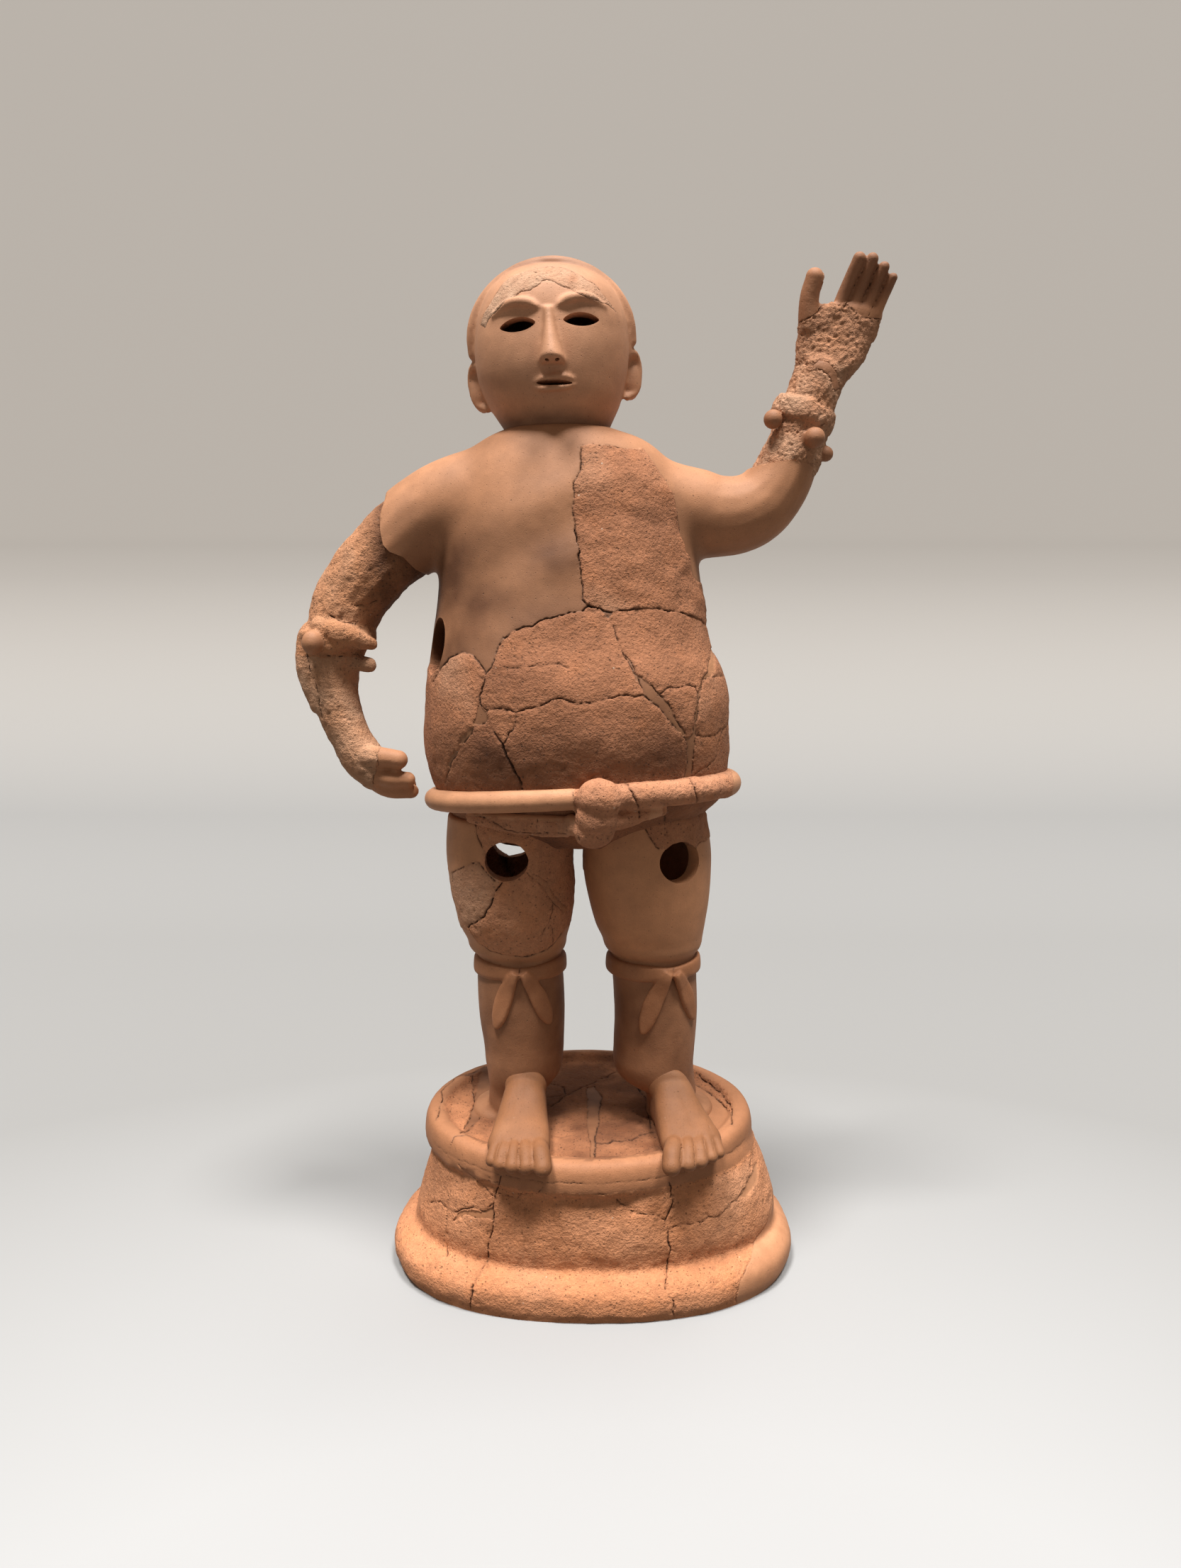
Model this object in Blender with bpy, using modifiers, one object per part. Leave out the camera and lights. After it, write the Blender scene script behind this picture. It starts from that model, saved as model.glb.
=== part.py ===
"""Hollow terracotta figure of a wrestler on an oval drum base, one fired piece.

The outside is built up from lofted rings, bent rolls and balls of clay, fused into one skin.
The inside is the same rolls drawn smaller by the wall thickness, taken away from the skin.
Sizes are in millimetres, +Z is up, the figure faces -Y and stands on Z = 0.
"""

import bpy
import bmesh
from math import asin, copysign, cos, pi, radians, sin
from mathutils import Matrix, Vector

MM = 0.001

# ---- driving dimensions ----
WALL = 12.0
BASE_CENTRE_X = 2.0
PLATE_CENTRE_X = -1.5
PLATE_LEAN = 0.03
FOOT_HALF_WIDTH = 149.0
FOOT_HALF_DEPTH = 105.0
FOOT_RING_HEIGHT = 25.0
FOOT_RIM = 20.0
DRUM_TOP = 86.0
PLATE_HALF_WIDTH = 122.0
PLATE_HALF_DEPTH = 94.0
PLATE_TOP = 109.0
PLATE_THICKNESS = 13.0
LEG_Y = -5.0
KNEE_Z = 226.0
SHIN_RADIUS = 31.5
BELT_HALF_WIDTH = 104.0
BELT_HALF_DEPTH = 78.0
BELT_HEIGHT = 348.5
BELT_CORD = 7.5
BELT_CORD_REPAIRED = 9.0
TRUNK_FLOOR = 337.0
HEAD_CENTRE = (-26.0, 2.0, 655.0)
HEAD_ROLL = radians(-4.7)
THIGH_HOLE = 14.0
THIGH_HOLE_Z = 307.0
FLANK_HOLE = 20.0
FLANK_HOLE_Z = 458.0
TOE_LINE_SETBACK = 12.0
TOE_LENGTH = 20.0

VOXEL = 2.2
SKIN_TRIANGLES = 6900
HOLLOW_TRIANGLES = 900
RING_POINTS = 48
BAR_SIDES = 20

CLAY_COLOUR = (0.42, 0.17, 0.08, 1.0)
CLAY_ROUGHNESS = 0.85


# ---- tools ----

def clear_scene():
    for thing in list(bpy.data.objects):
        bpy.data.objects.remove(thing, do_unlink=True)


def add_collection(name):
    group = bpy.data.collections.new(name)
    bpy.context.scene.collection.children.link(group)
    return group


def clay_material():
    clay = bpy.data.materials.new("terracotta")
    clay.use_nodes = True
    shader = clay.node_tree.nodes["Principled BSDF"]
    shader.inputs["Base Color"].default_value = CLAY_COLOUR
    shader.inputs["Roughness"].default_value = CLAY_ROUGHNESS
    shader.inputs["Metallic"].default_value = 0.0
    return clay


def between(before, start, end, after, t):
    """Catmull-Rom blend of four rows of numbers, at t between start and end."""
    return tuple(
        0.5 * (2 * b + (c - a) * t + (2 * a - 5 * b + 4 * c - d) * t * t
               + (3 * b - a - 3 * c + d) * t ** 3)
        for a, b, c, d in zip(before, start, end, after))


def smooth_rows(rows, steps=4):
    """More rows along the smooth curve through the given ones."""
    padded = [rows[0]] + list(rows) + [rows[-1]]
    result = []
    for index in range(1, len(padded) - 2):
        for step in range(steps):
            result.append(between(*padded[index - 1:index + 3], step / steps))
    return result + [rows[-1]]


def oval(centre, side, rise, square):
    """A closed ring of points, an ellipse at square 2 and boxier above it."""
    points = []
    for index in range(RING_POINTS):
        angle = 2 * pi * index / RING_POINTS
        u = copysign(abs(cos(angle)) ** (2 / square), cos(angle))
        v = copysign(abs(sin(angle)) ** (2 / square), sin(angle))
        points.append(centre + side * u + rise * v)
    return points


def skin_rings(mesh, rings):
    """Close a tube over rings of points, with a flat cap at each end."""
    loops = [[mesh.verts.new(point * MM) for point in ring] for ring in rings]
    for low, high in zip(loops, loops[1:]):
        for index in range(RING_POINTS):
            after = (index + 1) % RING_POINTS
            mesh.faces.new((low[index], low[after], high[after], high[index]))
    mesh.faces.new(list(reversed(loops[0])))
    mesh.faces.new(loops[-1])


def loft_up(mesh, rows, inset=0.0, lean=0.0, steps=4):
    """A standing form. Rows are height, centre x, centre y, half width, half depth, square.
    Lean lifts the back of every ring."""
    rings = []
    for height, x, y, half_width, half_depth, square in smooth_rows(rows, steps):
        side = Vector((half_width - inset, 0, 0))
        rise = Vector((0, half_depth - inset, lean * half_depth))
        rings.append(oval(Vector((x, y, height)), side, rise, square))
    skin_rings(mesh, rings)


def loft_along(mesh, rows, turn, square=2.4):
    """A lying form. Rows are x, y, z, half width, half height; turn is about Z."""
    rings = []
    for x, y, z, half_width, half_height in smooth_rows(rows):
        side = Matrix.Rotation(turn, 3, "Z") @ Vector((half_width, 0, 0))
        rings.append(oval(Vector((x, y, z)), side, Vector((0, 0, half_height)), square))
    skin_rings(mesh, rings)


def add_shell(mesh, shell):
    """Put a finished small form in with the rest."""
    data = bpy.data.meshes.new("shell")
    shell.to_mesh(data)
    shell.free()
    mesh.from_mesh(data)
    bpy.data.meshes.remove(data)


def ball(mesh, centre, radii, turn=0.0):
    place = Matrix.Translation(Vector(centre) * MM) @ Matrix.Rotation(turn, 4, "Y")
    stretch = Matrix.Diagonal((radii[0] * MM, radii[1] * MM, radii[2] * MM, 1))
    shell = bmesh.new()
    bmesh.ops.create_uvsphere(shell, u_segments=24, v_segments=16, radius=1,
                              matrix=place @ stretch)
    add_shell(mesh, shell)


def roll(mesh, points, closed=False):
    """A bent roll of clay through (x, y, z, radius), with round ends unless it is closed."""
    curve = bpy.data.curves.new("roll", "CURVE")
    curve.dimensions = "3D"
    curve.bevel_depth = MM
    curve.bevel_resolution = 4
    curve.resolution_u = 8
    curve.use_fill_caps = True
    spline = curve.splines.new("BEZIER")
    spline.bezier_points.add(len(points) - 1)
    spline.use_cyclic_u = closed
    for knot, (x, y, z, radius) in zip(spline.bezier_points, points):
        knot.co = Vector((x, y, z)) * MM
        knot.radius = radius
        knot.handle_left_type = "AUTO"
        knot.handle_right_type = "AUTO"
    thing = bpy.data.objects.new("roll", curve)
    bpy.context.scene.collection.objects.link(thing)
    depsgraph = bpy.context.evaluated_depsgraph_get()
    tube = bpy.data.meshes.new_from_object(thing.evaluated_get(depsgraph))
    shell = bmesh.new()
    shell.from_mesh(tube)
    bmesh.ops.remove_doubles(shell, verts=shell.verts, dist=0.00001)
    add_shell(mesh, shell)
    bpy.data.objects.remove(thing)
    bpy.data.curves.remove(curve)
    bpy.data.meshes.remove(tube)
    if not closed:
        for x, y, z, radius in (points[0], points[-1]):
            ball(mesh, (x, y, z), (radius, radius, radius))


def bar(mesh, start, end, radii):
    """A straight cutter of oval section from start to end."""
    start, end = Vector(start), Vector(end)
    along = end - start
    aim = along.to_track_quat("Z", "Y").to_matrix().to_4x4()
    stretch = Matrix.Diagonal((radii[0] * MM, radii[1] * MM, along.length * MM, 1))
    place = Matrix.Translation((start + end) / 2 * MM) @ aim @ stretch
    bmesh.ops.create_cone(mesh, cap_ends=True, segments=BAR_SIDES, radius1=1, radius2=1, depth=1,
                          matrix=place)


def as_object(mesh, name, group):
    data = bpy.data.meshes.new(name)
    bmesh.ops.recalc_face_normals(mesh, faces=mesh.faces)
    mesh.to_mesh(data)
    mesh.free()
    thing = bpy.data.objects.new(name, data)
    group.objects.link(thing)
    return thing


def fuse(thing, voxel, passes, triangles):
    """Make one skin of overlapping forms, soften it and thin its triangles."""
    remesh = thing.modifiers.new("fuse", "REMESH")
    remesh.mode = "VOXEL"
    remesh.voxel_size = voxel * MM
    soften = thing.modifiers.new("soften", "SMOOTH")
    soften.factor = 0.5
    soften.iterations = passes
    apply_modifiers(thing)
    thin = thing.modifiers.new("thin", "DECIMATE")
    thin.ratio = triangles / (2 * len(thing.data.polygons))
    thin.use_collapse_triangulate = True
    apply_modifiers(thing)


def apply_modifiers(thing):
    depsgraph = bpy.context.evaluated_depsgraph_get()
    data = bpy.data.meshes.new_from_object(thing.evaluated_get(depsgraph))
    thing.modifiers.clear()
    thing.data = data


def hide_cutter(thing):
    thing.hide_render = True
    thing.display_type = "WIRE"


def cut(thing, cutter):
    taken = thing.modifiers.new("cut_" + cutter.name, "BOOLEAN")
    taken.operation = "DIFFERENCE"
    taken.solver = "EXACT"
    taken.object = cutter


# ---- base ----

def base_forms(mesh):
    drum = []
    for height, shift, wide, deep, square in (
            (-10, 0, 5, 3, 2.35), (0, 0, 4, 2, 2.35), (6, 0, 1, 0, 2.35), (13, 0, 0, 0, 2.35),
            (20, 0, 3, 2, 2.35), (FOOT_RING_HEIGHT + 2, 1, 10, 10, 2.35), (44, 2, 15, 13, 2.3),
            (64, 2.5, 22, 14, 2.2), (DRUM_TOP, 1, 29, 16, 2.1), (DRUM_TOP + 8, 0, 31, 16, 2.1)):
        drum.append((height, BASE_CENTRE_X + shift, 0,
                     FOOT_HALF_WIDTH - wide, FOOT_HALF_DEPTH - deep, square))
    loft_up(mesh, drum)
    plate = []
    for height, inward in ((DRUM_TOP - 1, 5), (DRUM_TOP + 4, 1), (DRUM_TOP + 10, 0),
                           (PLATE_TOP - 5, 1), (PLATE_TOP, 5), (PLATE_TOP + 2, 14)):
        plate.append((height, PLATE_CENTRE_X, 0,
                      PLATE_HALF_WIDTH - inward, PLATE_HALF_DEPTH - inward, 2.0))
    loft_up(mesh, plate, lean=PLATE_LEAN)


def base_hollow(mesh):
    rows = []
    rim_side = FOOT_HALF_WIDTH - FOOT_RIM
    rim_front = FOOT_HALF_DEPTH - FOOT_RIM
    for height, inward in ((-20, 0), (30, 0), (60, 5), (82, 11), (PLATE_TOP - PLATE_THICKNESS, 20)):
        rows.append((height, BASE_CENTRE_X, 0, rim_side - inward, rim_front - inward * 0.6, 2.2))
    loft_up(mesh, rows, steps=1)


# ---- legs ----

# height, centre x, half width of each leg
LEFT_LEG = ((PLATE_TOP - 6, -49, 36), (PLATE_TOP + 6, -49, 31), (135, -48.5, 29), (160, -49, 29.5),
            (190, -50.5, 31.5), (KNEE_Z + 3, -51.5, 31.5), (240, -53, 35), (256, -54.5, 41),
            (280, -56, 44.5), (306, -58, 45.5), (334, -57, 45))
RIGHT_LEG = ((PLATE_TOP - 6, 47, 36), (PLATE_TOP + 6, 47, 31), (135, 46.5, 29.5), (160, 47, 30),
             (190, 48, 30.5), (KNEE_Z + 3, 46, 31.5), (240, 45, 34.5), (254, 43, 40),
             (274, 42, 44), (294, 41, 46), (312, 40.5, 45.5), (336, 38, 44))


def leg_rows(leg):
    return [(height, x, LEG_Y, half, half * 1.04, 2.0) for height, x, half in leg]


def knee_band(mesh, x, half):
    rows = []
    for rise, inward in ((-9, 2.5), (-7, 0.4), (0, 0), (7, 0.4), (9, 2.5)):
        rows.append((KNEE_Z + rise, x, LEG_Y, half - inward, half - inward, 2.0))
    loft_up(mesh, rows)


def ribbon_end(mesh, shin_x, knot_x, tip_x, tip_z):
    """One leaf-shaped end of the knee tie, hanging on the front of the shin."""
    top_z = KNEE_Z - 4
    down = Vector((tip_x - knot_x, 0, tip_z - top_z)).normalized()
    across = Vector((-down.z, 0, down.x))
    rings = []
    for share, half in smooth_rows(((0.0, 3.0), (0.3, 6.2), (0.65, 6.8), (0.88, 4.5), (1.0, 1.0))):
        x = knot_x + (tip_x - knot_x) * share
        z = top_z + (tip_z - top_z) * share
        from_middle = min(1.0, abs(x - shin_x) / SHIN_RADIUS)
        y = LEG_Y - SHIN_RADIUS * cos(asin(from_middle)) - 1
        rings.append(oval(Vector((x, y, z)), across * half, Vector((0, 3.2, 0)), 2.2))
    skin_rings(mesh, rings)


def legs(mesh):
    loft_up(mesh, leg_rows(LEFT_LEG))
    loft_up(mesh, leg_rows(RIGHT_LEG))
    knee_band(mesh, -51.0, 33.5)
    knee_band(mesh, 45.8, 34.5)
    ribbon_end(mesh, -50, -51, -66, 182)
    ribbon_end(mesh, -50, -50, -31, 184)
    ribbon_end(mesh, 47, 57, 38, 179)
    ribbon_end(mesh, 47, 58, 73, 185)


def leg_hollows(mesh):
    for leg in (LEFT_LEG, RIGHT_LEG):
        rows = [row for row in leg_rows(leg) if row[0] > PLATE_TOP + 8]
        first = (PLATE_TOP + 10,) + rows[0][1:]
        last = (TRUNK_FLOOR + 12,) + rows[-1][1:]
        loft_up(mesh, [first] + rows + [last], inset=WALL - 1)


# ---- feet ----

def foot(mesh, heel, toes, turn):
    """An instep wedge from the shin to the toe line, and a capsule for each toe."""
    heel_x, heel_y = heel
    ball_x = (toes[0][0] + toes[-1][0]) / 2
    ball_y = (toes[0][1] + toes[-1][1]) / 2 + TOE_LINE_SETBACK
    low = PLATE_TOP - 5
    rows = []
    for share, half_width, top in ((0.0, 15, 44), (0.25, 16, 36), (0.5, 18, 26),
                                   (0.8, 21, 17), (1.0, 21.5, 12)):
        x = heel_x + (ball_x - heel_x) * share
        y = heel_y + (ball_y - heel_y) * share
        high = PLATE_TOP + top
        rows.append((x, y, (low + high) / 2, half_width, (high - low) / 2))
    loft_along(mesh, rows, turn)
    for x, y, radius in toes:
        inward = Vector((ball_x - x, ball_y + 25 - y, 0)).normalized().x * TOE_LENGTH
        roll(mesh, ((x + inward * 0.8, y + TOE_LENGTH, PLATE_TOP + 8 - radius * 0.3, radius),
                    (x + inward * 0.3, y + TOE_LENGTH * 0.45, PLATE_TOP + 5, radius),
                    (x, y, PLATE_TOP - 1, radius * 0.95)))


LEFT_TOES = ((-34, -99, 6.4), (-44.5, -96, 4.8), (-52.5, -96, 4.6), (-60, -93, 4.5), (-67, -88, 4.4))
RIGHT_TOES = ((53.5, -97, 6.4), (64.5, -93, 4.8), (73, -89, 4.7), (81, -83, 4.5), (87.5, -77, 4.3))


def feet(mesh):
    foot(mesh, (-49, -26), LEFT_TOES, 0.0)
    foot(mesh, (54, -26), RIGHT_TOES, radians(14))


# ---- trunk ----

TRUNK = ((314, -8, -3, 66, 44, 2.2), (324, -9, -3, 86, 56, 2.2), (337, -9, -3, 94, 66, 2.2),
         (350, -7, -3, 102, 75, 2.2), (372, -9, -4, 106, 80, 2.2), (392, -10, -5, 107, 83, 2.2),
         (416, -9.5, -5, 106, 82, 2.15), (437, -11, -4, 102, 79, 2.1), (455, -14, -2, 96.5, 74, 2.1),
         (485, -14, 0, 92.5, 68, 2.1), (515, -15, 0, 89, 64, 2.1), (545, -17, 1, 86, 59, 2.1),
         (568, -18, 1, 79, 52, 2.1), (583, -18, 1, 67, 46, 2.1), (592, -19, 1, 55, 41, 2.1),
         (598, -21, 1, 38, 36, 2.0))


def belt_point(angle):
    """The belt cord runs round the hips, lifted at the front and on the figure's left."""
    x = -6.5 + BELT_HALF_WIDTH * copysign(abs(cos(angle)) ** 0.9, cos(angle))
    y = -3 + BELT_HALF_DEPTH * copysign(abs(sin(angle)) ** 0.9, sin(angle))
    radius = BELT_CORD_REPAIRED if x > 20 else BELT_CORD
    return (x, y, BELT_HEIGHT + x * 0.05 - y * 0.08, radius)


def trunk(mesh):
    loft_up(mesh, TRUNK)
    roll(mesh, [belt_point(2 * pi * index / 16) for index in range(16)], closed=True)
    ball(mesh, (5.5, -88, 358), (14, 11, 14))
    ball(mesh, (4, -85, 343), (13, 11, 15))
    ball(mesh, (-3, -79, 336), (12, 9, 9))
    roll(mesh, ((14, -82, 345, 8), (38, -78, 348, 6.5), (62, -68, 352, 5)))


# ---- arms ----

LOWERED_ARM = ((-58, 0, 549, 43), (-88, 0, 546, 38), (-112, 0, 538, 33.5), (-135, -2, 521, 29.5),
               (-154, -4, 502, 26.5), (-169, -6, 480, 24), (-176, -9, 458, 22), (-179, -12, 432, 18),
               (-176, -15, 410, 15.5), (-168, -17, 390, 14.5), (-159, -19, 375, 14.5),
               (-150, -20, 364, 13))
RAISED_ARM = ((16, 0, 547, 43), (44, 0, 545, 36), (70, 0, 543, 31.5), (92, -1, 541, 27.5),
              (112, -2, 546, 25.5), (126, -3, 559, 23), (136, -4, 578, 20.5), (145, -5, 602, 18),
              (151, -5, 620, 17.5), (155, -5, 634, 16))


def lowered_arm(mesh):
    roll(mesh, LOWERED_ARM)
    roll(mesh, ((-191, -12, 458, 12), (-193, -14, 436, 11), (-189, -16, 412, 7)))
    loft_band(mesh, (-176, -9, 459), 26, 25, 20, radians(-14))
    ball(mesh, (-188, -34, 455), (7.5, 6.5, 8))
    ball(mesh, (-155, -20, 443), (7.5, 7.5, 7))
    roll(mesh, ((-156, -26, 377, 8.5), (-145, -30, 376.5, 7), (-133, -31, 374, 6.5)))
    for x, y, z, radius in ((-127, -28, 360.5, 5.6), (-126, -22, 351.5, 5.2),
                            (-127, -12, 350, 5.2), (-130, -2, 353, 5)):
        roll(mesh, ((-153, y, z + 6, radius + 3), (-142, y, z + 1.5, radius + 0.8),
                    (x, y, z, radius)))


def loft_band(mesh, centre, half_width, half_depth, height, tilt):
    """A raised cuff round a forearm, tilted in the XZ plane."""
    rings = []
    spin = Matrix.Rotation(tilt, 3, "Y")
    for share, inward in ((-0.5, 4), (-0.38, 1), (0, 0), (0.38, 1), (0.5, 4)):
        middle = Vector(centre) + spin @ Vector((0, 0, height * share))
        side = spin @ Vector((half_width - inward, 0, 0))
        rings.append(oval(middle, side, Vector((0, half_depth - inward, 0)), 2.0))
    skin_rings(mesh, rings)


def raised_arm(mesh):
    roll(mesh, RAISED_ARM)
    loft_band(mesh, (145, -4, 609), 22, 21, 16, radians(20))
    for x, y, z, radius in ((122, -19, 602.5, 6.5), (148.5, -26, 589.5, 7.5), (160, -8, 582, 5.5)):
        ball(mesh, (x, y, z), (radius, radius, radius))
    palm = ((616, 150, -5, 15, 15, 2.2), (630, 154.5, -5, 19, 13.5, 2.2),
            (640, 160, -5, 22.5, 12, 2.2), (656, 165, -5, 26, 10, 2.2),
            (670, 167, -6, 27, 8.5, 2.2), (680, 169.5, -7, 24, 7, 2.2), (686, 173, -7, 16, 5, 2.2))
    loft_up(mesh, palm)
    roll(mesh, ((147, -6, 664, 8), (146, -8, 682, 6.5), (148.5, -9, 695, 6)))
    for start, end, radius in (((164, 679), (176.5, 705), 4.8), ((174, 677), (185.5, 704), 4.8),
                               ((182, 674), (193, 699.5), 4.6), ((189, 670), (199.5, 693), 4.0)):
        middle = ((start[0] + end[0]) / 2, (start[1] + end[1]) / 2)
        roll(mesh, ((start[0], -7, start[1], radius + 0.8), (middle[0], -8, middle[1], radius + 0.5),
                    (end[0], -8, end[1], radius)))


# ---- head ----

HEAD = ((586, 3, 2, 36, 36, 2.0), (597, 3, 1, 35.5, 36, 2.0), (606, 2, -1, 40, 41, 2.1),
        (616, 1, -3, 45.5, 47, 2.15), (630, 0, -3, 50, 51, 2.2), (645, 0, -2, 52, 53, 2.2),
        (658, 0, -1, 52, 53, 2.2), (672, 0, 0, 50, 52, 2.15), (686, 0, 1, 44, 47, 2.1),
        (697, 0, 2, 33, 37, 2.0), (703, 0, 3, 18, 22, 2.0))
CAP_RADIUS = 57.0
CAP_SQUARE = 2.25
CAP_CENTRE_Z = 656.0
RIM_FACING = (0, -0.85, -0.53)
NAPE_FACING = (0, -0.41, -0.91)


def rolled(point):
    """A point given for an upright head, leaned over with the head."""
    middle = Vector(HEAD_CENTRE)
    from_middle = Vector(point) - Vector((0, 0, middle.z))
    return Matrix.Rotation(HEAD_ROLL, 3, "Y") @ from_middle + middle


def head(mesh):
    rows = [(z, HEAD_CENTRE[0] + x, HEAD_CENTRE[1] + y, half_width, half_depth, square)
            for z, x, y, half_width, half_depth, square in HEAD]
    loft_up(mesh, rows)
    hair_cap(mesh)
    nose(mesh)
    for side in (-1, 1):
        x, y, z = rolled((side * 53, 4, 633))
        ball(mesh, (x, y, z), (5, 8, 15), HEAD_ROLL + side * radians(8))


def hair_cap(mesh):
    """A smooth shell of hair over crown and nape, with a thick rolled rim about the face."""
    dome = bmesh.new()
    rings = []
    for step in range(1, 24):
        height = -cos(pi * step / 24)
        share = (1 - abs(height) ** CAP_SQUARE) ** (1 / CAP_SQUARE)
        middle = rolled((0, 4, CAP_CENTRE_Z + CAP_RADIUS * height))
        side = Matrix.Rotation(HEAD_ROLL, 3, "Y") @ Vector((CAP_RADIUS * share, 0, 0))
        rings.append(oval(middle, side, Vector((0, CAP_RADIUS * share, 0)), 2.1))
    skin_rings(dome, rings)
    for point, normal in ((rolled((0, -3, 640)), RIM_FACING), (rolled((0, -7, 650)), NAPE_FACING)):
        bmesh.ops.bisect_plane(dome, geom=dome.verts[:] + dome.edges[:] + dome.faces[:],
                               plane_co=point * MM, plane_no=normal, clear_outer=True)
        bmesh.ops.holes_fill(dome, edges=[edge for edge in dome.edges if edge.is_boundary])
    add_shell(mesh, dome)


def nose(mesh):
    rows = []
    for z, y, half_width, half_depth in ((663, -50, 4, 6), (655, -52, 4.6, 8), (645, -53, 6, 11),
                                         (636, -54, 8, 13), (632, -53, 8.5, 12)):
        x, lean_y, lean_z = rolled((0, y - HEAD_CENTRE[1], z))
        rows.append((lean_z, x, lean_y, half_width, half_depth, 2.0))
    loft_up(mesh, rows[::-1])


def eye_and_mouth_cuts(mesh):
    for side in (-1, 1):
        start = rolled((side * 21, -80, 659))
        end = rolled((side * 19, -20, 659))
        bar(mesh, start, end, (11.5, 4.2))
    bar(mesh, rolled((0, -80, 620)), rolled((0, -22, 621)), (13, 2.0))


# ---- hollow and piercings ----

def trunk_hollow(mesh):
    rows = [row for row in TRUNK if TRUNK_FLOOR <= row[0] < 580]
    loft_up(mesh, rows, inset=WALL)
    neck = [(z, HEAD_CENTRE[0] + x, HEAD_CENTRE[1] + y, half_width, half_depth, square)
            for z, x, y, half_width, half_depth, square in HEAD if z < 698]
    loft_up(mesh, [(560,) + neck[0][1:]] + neck, inset=WALL)


def piercings(mesh):
    thigh_hole = (THIGH_HOLE, THIGH_HOLE)
    flank_hole = (FLANK_HOLE, FLANK_HOLE)
    bar(mesh, (-57, -70, THIGH_HOLE_Z + 1), (-59, 60, THIGH_HOLE_Z - 1), thigh_hole)
    bar(mesh, (80, -70, THIGH_HOLE_Z - 1), (2, 60, THIGH_HOLE_Z - 1), thigh_hole)
    bar(mesh, (-130, -14, FLANK_HOLE_Z - 2), (-70, -6, FLANK_HOLE_Z - 2), flank_hole)
    bar(mesh, (110, 10, FLANK_HOLE_Z + 2), (60, 6, FLANK_HOLE_Z + 2), flank_hole)
    eye_and_mouth_cuts(mesh)


# ---- build ----

def build():
    clear_scene()
    parts = add_collection("haniwa_figure")
    cutters = add_collection("cutters")

    skin = bmesh.new()
    for shape in (base_forms, legs, feet, trunk, lowered_arm, raised_arm, head):
        shape(skin)
    figure = as_object(skin, "haniwa_wrestler", parts)
    fuse(figure, VOXEL, 3, SKIN_TRIANGLES)
    figure.data.materials.append(clay_material())

    inside = bmesh.new()
    for shape in (leg_hollows, trunk_hollow):
        shape(inside)
    hollow = as_object(inside, "body_hollow", cutters)
    fuse(hollow, 3.0, 4, HOLLOW_TRIANGLES)
    hide_cutter(hollow)

    under = bmesh.new()
    base_hollow(under)
    drum_hollow = as_object(under, "drum_hollow", cutters)
    hide_cutter(drum_hollow)

    below = bmesh.new()
    sunk = Matrix.Translation((0, 0, -0.05)) @ Matrix.Diagonal((0.5, 0.5, 0.1, 1))
    bmesh.ops.create_cube(below, size=1, matrix=sunk)
    ground = as_object(below, "ground", cutters)
    hide_cutter(ground)

    holes = bmesh.new()
    piercings(holes)
    pierced = as_object(holes, "piercings", cutters)
    hide_cutter(pierced)

    for cutter in (ground, drum_hollow, hollow, pierced):
        cut(figure, cutter)


build()
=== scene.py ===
"""Hollow terracotta figure of a wrestler, one hand raised, standing on an oval drum.

One fired piece of clay, built here as it was luted together: base, legs, knee ties, feet, trunk,
belt, lowered arm, raised forearm and head. Each section makes one of them. Sizes are in
millimetres in the figure's own frame: x towards its raised hand, -y forward, z up from the floor.
"""

from math import asin, copysign, cos, exp, pi, radians, sin

import bpy
import numpy as np
from mathutils import Matrix, Vector
from mathutils.kdtree import KDTree


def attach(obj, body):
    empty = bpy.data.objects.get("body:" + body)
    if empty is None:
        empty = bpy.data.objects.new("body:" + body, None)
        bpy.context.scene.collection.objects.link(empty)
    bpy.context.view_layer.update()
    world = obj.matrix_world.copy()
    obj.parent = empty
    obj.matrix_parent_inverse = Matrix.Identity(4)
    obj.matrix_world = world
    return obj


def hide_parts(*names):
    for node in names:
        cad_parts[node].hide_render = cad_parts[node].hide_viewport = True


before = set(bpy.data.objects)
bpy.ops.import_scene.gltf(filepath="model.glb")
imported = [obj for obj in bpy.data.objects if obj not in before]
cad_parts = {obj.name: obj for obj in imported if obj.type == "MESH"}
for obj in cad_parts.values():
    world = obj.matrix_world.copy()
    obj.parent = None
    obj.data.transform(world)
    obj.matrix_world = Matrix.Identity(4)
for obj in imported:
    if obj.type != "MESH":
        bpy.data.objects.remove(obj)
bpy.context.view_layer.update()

bpy.ops.object.select_all(action="DESELECT")


# ======== Floor, light and view ========
# A pale floor that sweeps up behind, two soft lamps overhead and a weak one behind, in a warm
# room. The floor sends no light back, so the clay stays darker below. The view is from a
# standing visitor's chest height, looking slightly down.

FLOOR_WIDE, FLOOR_DEEP, SWEEP_HIGH, SWEEP_ROUND = 6, 4, 3, 0.6
CAMERA_SPOT = (0, -0.8047, 0.4771)
CAMERA_TILT = 81.25
LAMP_COLOUR = (1.0, 0.985, 0.96)
ROOM_COLOUR, ROOM_LIGHT = (1.0, 0.91, 0.8, 1), 0.27


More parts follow.
